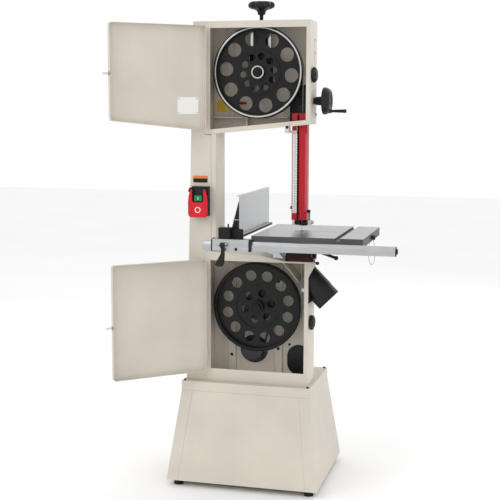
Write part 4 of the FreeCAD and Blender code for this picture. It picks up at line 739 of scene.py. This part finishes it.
def build_switch_paddle():
    """A wide paddle on two arms, which straddle the start button, with a plain ring on it."""
    low, high = mm_box("stop_paddle")
    button_low, button_high = mm_box("start_button")
    window = (button_low.x - 7, button_high.x + 6)
    sill = button_low.z - 4
    left = [(window[0], high.z), (window[0] - PADDLE_ARM + 1, high.z),
            (window[0] - PADDLE_ARM - 1, high.z - 6), (low.x + 2, sill + 22), (low.x, sill),
            (low.x, low.z + 13), (low.x + 2, low.z + 6), (low.x + 6, low.z + 2), (low.x + 13, low.z)]
    right = [(high.x - 13, low.z), (high.x - 6, low.z + 2), (high.x - 2, low.z + 6),
             (high.x, low.z + 13), (high.x, sill), (high.x - 2, sill + 22),
             (window[1] + PADDLE_ARM + 1, high.z - 6), (window[1] + PADDLE_ARM - 1, high.z),
             (window[1], high.z)]
    notch = [(window[1], sill + 4), (window[1] - 4, sill), (window[0] + 4, sill), (window[0], sill + 4)]
    bm = bmesh.new()
    prism(bm, left + right + notch, 1, low.y, low.y + 7)
    finish_piece(soften(mesh_piece("paddle", bm), 2.2, 3), "stop_paddle", "red_plastic", ("stop_paddle",))
    centre = ((low.x + high.x) / 2, (low.z + sill) / 2)
    bm = bmesh.new()
    turned(bm, ring_of(8.5, 11.5, low.y - 0.35, low.y + 0.5), 1, centre, 48, closed=True)
    finish_piece(mesh_piece("paddle_off_mark", bm), "stop_paddle", "brush_nylon", look=LOOKS["white_plate"])


def build_button_mark():
    low, high = mm_box("start_button")
    middle = (low.x + high.x) / 2
    bm = bmesh.new()
    block(bm, (middle - 1.2, middle + 1.2), (low.y - 0.3, low.y + 0.5), (low.z + 6, high.z - 6))
    finish_piece(mesh_piece("button_on_mark", bm), "start_button", "brush_nylon", look=LOOKS["white_plate"])


def build_column_plate():
    """A blank plate above the switch, with a coloured band along its top."""
    column = mm_box("column")[0]
    paddle_top = mm_box("stop_paddle")[1].z
    x, z = (column.x + 31, column.x + 89), (paddle_top + 24, paddle_top + 50)
    bm = bmesh.new()
    prism(bm, rounded(x, z, 1.5), 1, column.y - 0.7, column.y + 0.2)
    finish_piece(soften(mesh_piece("column_plate", bm), 0.2), "frame", "black_paint")
    bm = bmesh.new()
    block(bm, (x[0] + 0.5, x[1] - 0.5), (column.y - 0.9, column.y - 0.5), (z[1] - 10, z[1] - 0.5))
    finish_piece(mesh_piece("column_plate_band", bm), "frame", "red_paint", look=LOOKS["orange_band"])


# ---------------------------------------------------------------- inside the cabinets

SHEET = 3.0
STRAP_DEPTH = 9.0


def build_lower_insides():
    """Folded straps on the back wall with their bolts, and the wall's two seams."""
    low, high = mm_box("lower_cabinet")
    back = high.y - SHEET
    fold = back - STRAP_DEPTH
    heights = (low.z + SHEET, high.z - 60)
    for name, x in (("strap_left", (low.x + 62, low.x + 96)), ("strap_right", (low.x + 255, low.x + 288))):
        bm = bmesh.new()
        prism(bm, [(x[0], back), (x[0] + 2.5, fold), (x[1] - 2.5, fold), (x[1], back)], 2, *heights)
        finish_piece(soften(mesh_piece(name, bm), 0.8), "frame", "painted_cream")
    bolts = [(low.x + 78, low.z + 84), (low.x + 270, low.z + 118),
             (low.x + 78, low.z + 390), (low.x + 270, low.z + 390)]
    screw_heads("strap_bolts", bolts, 1, fold, "frame", 4.5, -3.5)
    screw_heads("wall_bolts", [(low.x + 314, low.z + 136)], 1, back, "frame", 3.5, -3)
    bm = bmesh.new()
    for x in (low.x + 35, low.x + 44):
        block(bm, (x, x + 1.5), (back - 2.5, back + 0.1), heights)
    finish_piece(soften(mesh_piece("wall_seams", bm), 0.4), "frame", "painted_cream")


def build_upper_stiffeners():
    """Folded ribs on the upper cabinet's back wall, and a blank plate between them."""
    low, high = mm_box("upper_cabinet")
    back = high.y - SHEET
    shelf = low.z + 64
    rib = (shelf + 3, high.z - 6)
    bm = bmesh.new()
    block(bm, (low.x + 4, high.x - 104), (back - 40, back), (shelf, shelf + 4))
    block(bm, (low.x + 143, low.x + 148), (back - 38, back), (shelf - 41, shelf))
    block(bm, (low.x + 54, low.x + 58), (back - 4, back), rib)
    block(bm, (low.x + 84, low.x + 86), (back - 4, back), rib)
    finish_piece(soften(mesh_piece("upper_stiffeners", bm), 0.6), "frame", "painted_cream")
    bm = bmesh.new()
    outline = rounded((low.x + 14, low.x + 77), (low.z + 87, low.z + 131), 2)
    prism(bm, outline, 1, back - 0.8, back + 0.1)
    finish_piece(mesh_piece("inside_plate", bm), "frame", "painted_cream", look=LOOKS["yellow_plate"])


def build_tension_surround():
    """The tension screw's cover, its two bright guide bars and the lever behind the wheel."""
    low, high = mm_box("upper_cabinet")
    back, top = high.y - SHEET, high.z - 6
    screw_x = middle_of(*mm_box("tension_handwheel"), 2)[0]
    bm = bmesh.new()
    block(bm, (screw_x - 28, screw_x + 28), (back - 31, back - 28), (top - 135, top))
    finish_piece(soften(mesh_piece("screw_cover", bm), 0.8), "frame", "black_paint")
    bm = bmesh.new()
    for x in (screw_x - 39, screw_x + 31):
        block(bm, (x, x + 11), (back - 32, back - 27), (top - 113, top))
    finish_piece(soften(mesh_piece("guide_bars", bm), 0.8), "frame", "bright_steel")
    tip = low.x + 80
    bm = bmesh.new()
    turned(bm, [(tip, 3.5), (tip + 2, 5), (tip + 37, 5), (tip + 57, 4)], 0, (back - 12, low.z + 121), 20)
    finish_piece(soften(mesh_piece("release_lever", bm), 1.0), "frame", "red_paint")


# ---------------------------------------------------------------- outside fittings

def build_side_fittings():
    """What is screwed to the right-hand wall, and the screws of the two ports."""
    low, high = mm_box("upper_cabinet")
    face = high.x
    bm = bmesh.new()
    turned(bm, [(face, 9), (face + 3, 8), (face + 6, 5), (face + 7, 1)], 0, (high.y - 15, low.z + 77), 32)
    finish_piece(soften(mesh_piece("dome_screw", bm), 0.6), "frame", "bright_steel")
    port_low, port_high = mm_box("side_dust_port")
    port_y = (port_low.y + port_high.y) / 2
    spots = [(port_y + side * 48, z) for side in (-1, 1) for z in (port_low.z + 60, port_high.z - 9)]
    screw_heads("chute_screws", spots, 0, face + 4, "frame", 4.5, 3.5)
    spots = [(high.y - 37, high.z - 69), (high.y - 37, high.z - 119)]
    screw_heads("wall_screws", spots, 0, face, "frame", 4, 2.5, "bright_steel")
    bm = bmesh.new()
    outline = rounded((high.y - 51, high.y - 23), (high.z - 154, high.z - 71), 3)
    prism(bm, outline, 0, face - 0.2, face + 1.0)
    for z in (high.z - 163, high.z - 67):
        block(bm, (face - 0.2, face + 1.6), (high.y - 43, high.y - 31), (z, z + 4))
    finish_piece(soften(mesh_piece("wall_strip", bm), 0.5), "frame", "painted_cream")
    wall = mm_box("lower_cabinet")[1].y
    spots = list(around(middle_of(*mm_box("rear_dust_port"), 1), 54, 4, 45))
    screw_heads("port_screws", spots, 1, wall + 4, "frame", 2.6, 2)


def build_back_details():
    """The fan cover's rings and spokes, and the motor's bolts."""
    low, high = mm_box("motor_fan_cover")
    centre = middle_of(low, high, 1)
    bm = bmesh.new()
    for reach in (20, 32, 44, 56, 68):
        turned(bm, ring_of(reach - 2, reach + 2, high.y - 0.5, high.y + 0.8), 1, centre, 96, closed=True)
    for k in range(8):
        turn = Matrix.Rotation(math.radians(45 * k), 3, "Y")
        start = len(bm.verts)
        block(bm, (-2.5, 2.5), (high.y - 0.5, high.y + 1.4), (10, 70))
        bm.verts.ensure_lookup_table()
        for vert in bm.verts[start:]:
            spot = turn @ vert.co
            vert.co = (spot.x + centre[0] * MM, spot.y, spot.z + centre[1] * MM)
    finish_piece(soften(mesh_piece("fan_grille", bm), 0.4), "frame", "black_paint")
    wall = mm_box("lower_cabinet")[1].y
    screw_heads("motor_bolts", list(around(centre, 64, 4, 45)), 1, wall + 8, "frame", 5, 5)


def build_table_fittings():
    """The trunnion casting's dark frame, and the small stop bolt at the gusset."""
    low, high = mm_box("trunnion_bracket")
    front = low.y
    bm = bmesh.new()
    block(bm, (low.x - 2, low.x + 12), (front - 0.2, front + 1), (low.z, high.z))
    block(bm, (high.x - 14, high.x + 8), (front - 0.2, front + 6), (low.z + 2, high.z - 12))
    block(bm, (low.x, high.x), (front - 0.2, front + 1), (high.z - 5, high.z))
    block(bm, (low.x + 36, high.x - 44), (front - 0.4, front + 1), (low.z + 13, high.z - 11))
    finish_piece(soften(mesh_piece("bracket_frame", bm), 0.1), "frame", "trunnion_paint")
    bm = bmesh.new()
    turned(bm, [(front - 9, 5), (front - 8, 6.5), (front - 1, 6.5), (front, 3)], 1,
           (high.x + 25, low.z - 2), 28)
    finish_piece(soften(mesh_piece("stop_knob", bm), 1.0), "frame", "black_plastic")


BUILDERS = (
    dress_table, dress_guide_post, build_wheel_trim, build_door_pins, build_door_plate,
    build_guard_scale, build_guard_folds, build_scale_pointer, build_guide_metal,
    build_rail, build_carriage_trim, build_fence_trim, build_cam_lever,
    build_tension_handwheel, build_guide_handwheel, build_latch_knobs,
    build_switch_paddle, build_button_mark, build_column_plate,
    build_lower_insides, build_upper_stiffeners, build_tension_surround,
    build_side_fittings, build_back_details, build_table_fittings,
)
for build in BUILDERS:
    build()

for node, item in frame["nodes"].items():
    if not item.hide_render:
        item.data.materials.clear()
        # the lower shaft takes the dark steel as painted shade where it shows through the lower wheel's holes
        item.data.materials.append(LOOKS["dark_steel"] if node == "lower_shaft" else MATERIALS[SLOT_OF[node]])


# ---------------------------------------------------------------- camera, light and floor

CAMERA_PLACE = (1.069, -4.213, 1.491)
CAMERA_PAN, CAMERA_DOWN, CAMERA_ROLL = 14.61, 7.52, 0.16
CAMERA_LENS, CAMERA_SENSOR = 78.8, 36
FLOOR_HALF = 14.0


def stage_camera():
    camera = linked("camera", bpy.data.cameras.new("camera"))
    camera.data.sensor_width = CAMERA_SENSOR
    camera.data.lens = CAMERA_LENS
    camera.data.clip_end = 60
    camera.location = CAMERA_PLACE
    turn = (Matrix.Rotation(math.radians(CAMERA_PAN), 4, "Z")
            @ Matrix.Rotation(math.radians(90 - CAMERA_DOWN), 4, "X")
            @ Matrix.Rotation(math.radians(CAMERA_ROLL), 4, "Z"))
    camera.rotation_euler = turn.to_euler()
    bpy.context.scene.camera = camera


def area_light(name, place, size, power):
    """A round soft light that looks at the middle of the machine."""
    data = bpy.data.lights.new(name, "AREA")
    data.shape = "DISK"
    data.size = size
    data.energy = power
    lamp = linked(name, data)
    lamp.location = place
    lamp.rotation_euler = (Vector((0, 0, 1)) - Vector(place)).to_track_quat("-Z", "Y").to_euler()


def stage_light():
    area_light("key", (-2.6, -3.6, 3.6), 2.4, 42)
    area_light("fill", (3.6, -2.8, 2.2), 2.6, 12)
    area_light("back", (1.5, 3.4, 3.2), 2.6, 30)
    world = bpy.data.worlds.new("studio")
    world.use_nodes = True
    world.node_tree.nodes["Background"].inputs["Color"].default_value = (1, 1, 1, 1)
    world.node_tree.nodes["Background"].inputs["Strength"].default_value = 1.0
    bpy.context.scene.world = world
    bpy.context.scene.view_settings.view_transform = "Standard"


def stage_floor():
    mesh = bpy.data.meshes.new("floor")
    half = FLOOR_HALF
    corners = [(-half, -half, 0), (half, -half, 0), (half, half, 0), (-half, half, 0)]
    mesh.from_pydata(corners, [], [(0, 1, 2, 3)])
    floor = linked("floor", mesh)
    pale, tree, main = shader("pale_floor", (0.93, 0.93, 0.93), 0.8)
    tone = ramp(tree, noise(tree, 1.2, 3.0), [(0.3, (0.92, 0.92, 0.92)), (0.7, (0.94, 0.94, 0.94))])
    tree.links.new(tone, main.inputs["Base Color"])
    mesh.materials.append(pale)


stage_camera()
stage_light()
stage_floor()


# ---------------------------------------------------------------- the table pin's cord

CORD_ROUTE = [(481, -91, 985), (482.5, -90, 966), (486, -88, 943), (486.5, -85, 920), (483, -82, 900),
              (476, -79, 888), (467.5, -76.5, 889), (462, -74.5, 902), (459.5, -73, 924),
              (460.5, -72, 950), (464, -72.5, 978)]


def build_cord():
    data = bpy.data.curves.new("table_pin_lanyard", "CURVE")
    data.dimensions = "3D"
    data.bevel_depth = 1.0 * MM
    data.bevel_resolution = 3
    data.use_fill_caps = True
    line = data.splines.new("NURBS")
    line.points.add(len(CORD_ROUTE) - 1)
    for point, spot in zip(line.points, CORD_ROUTE):
        point.co = (*(value * MM for value in spot), 1)
    line.order_u = 3
    line.use_endpoint_u = True
    line.resolution_u = 8
    piece = linked("table_pin_lanyard", data)
    finish_piece(piece, "table", "cord_steel", ("table_pin_cord",))


build_cord()
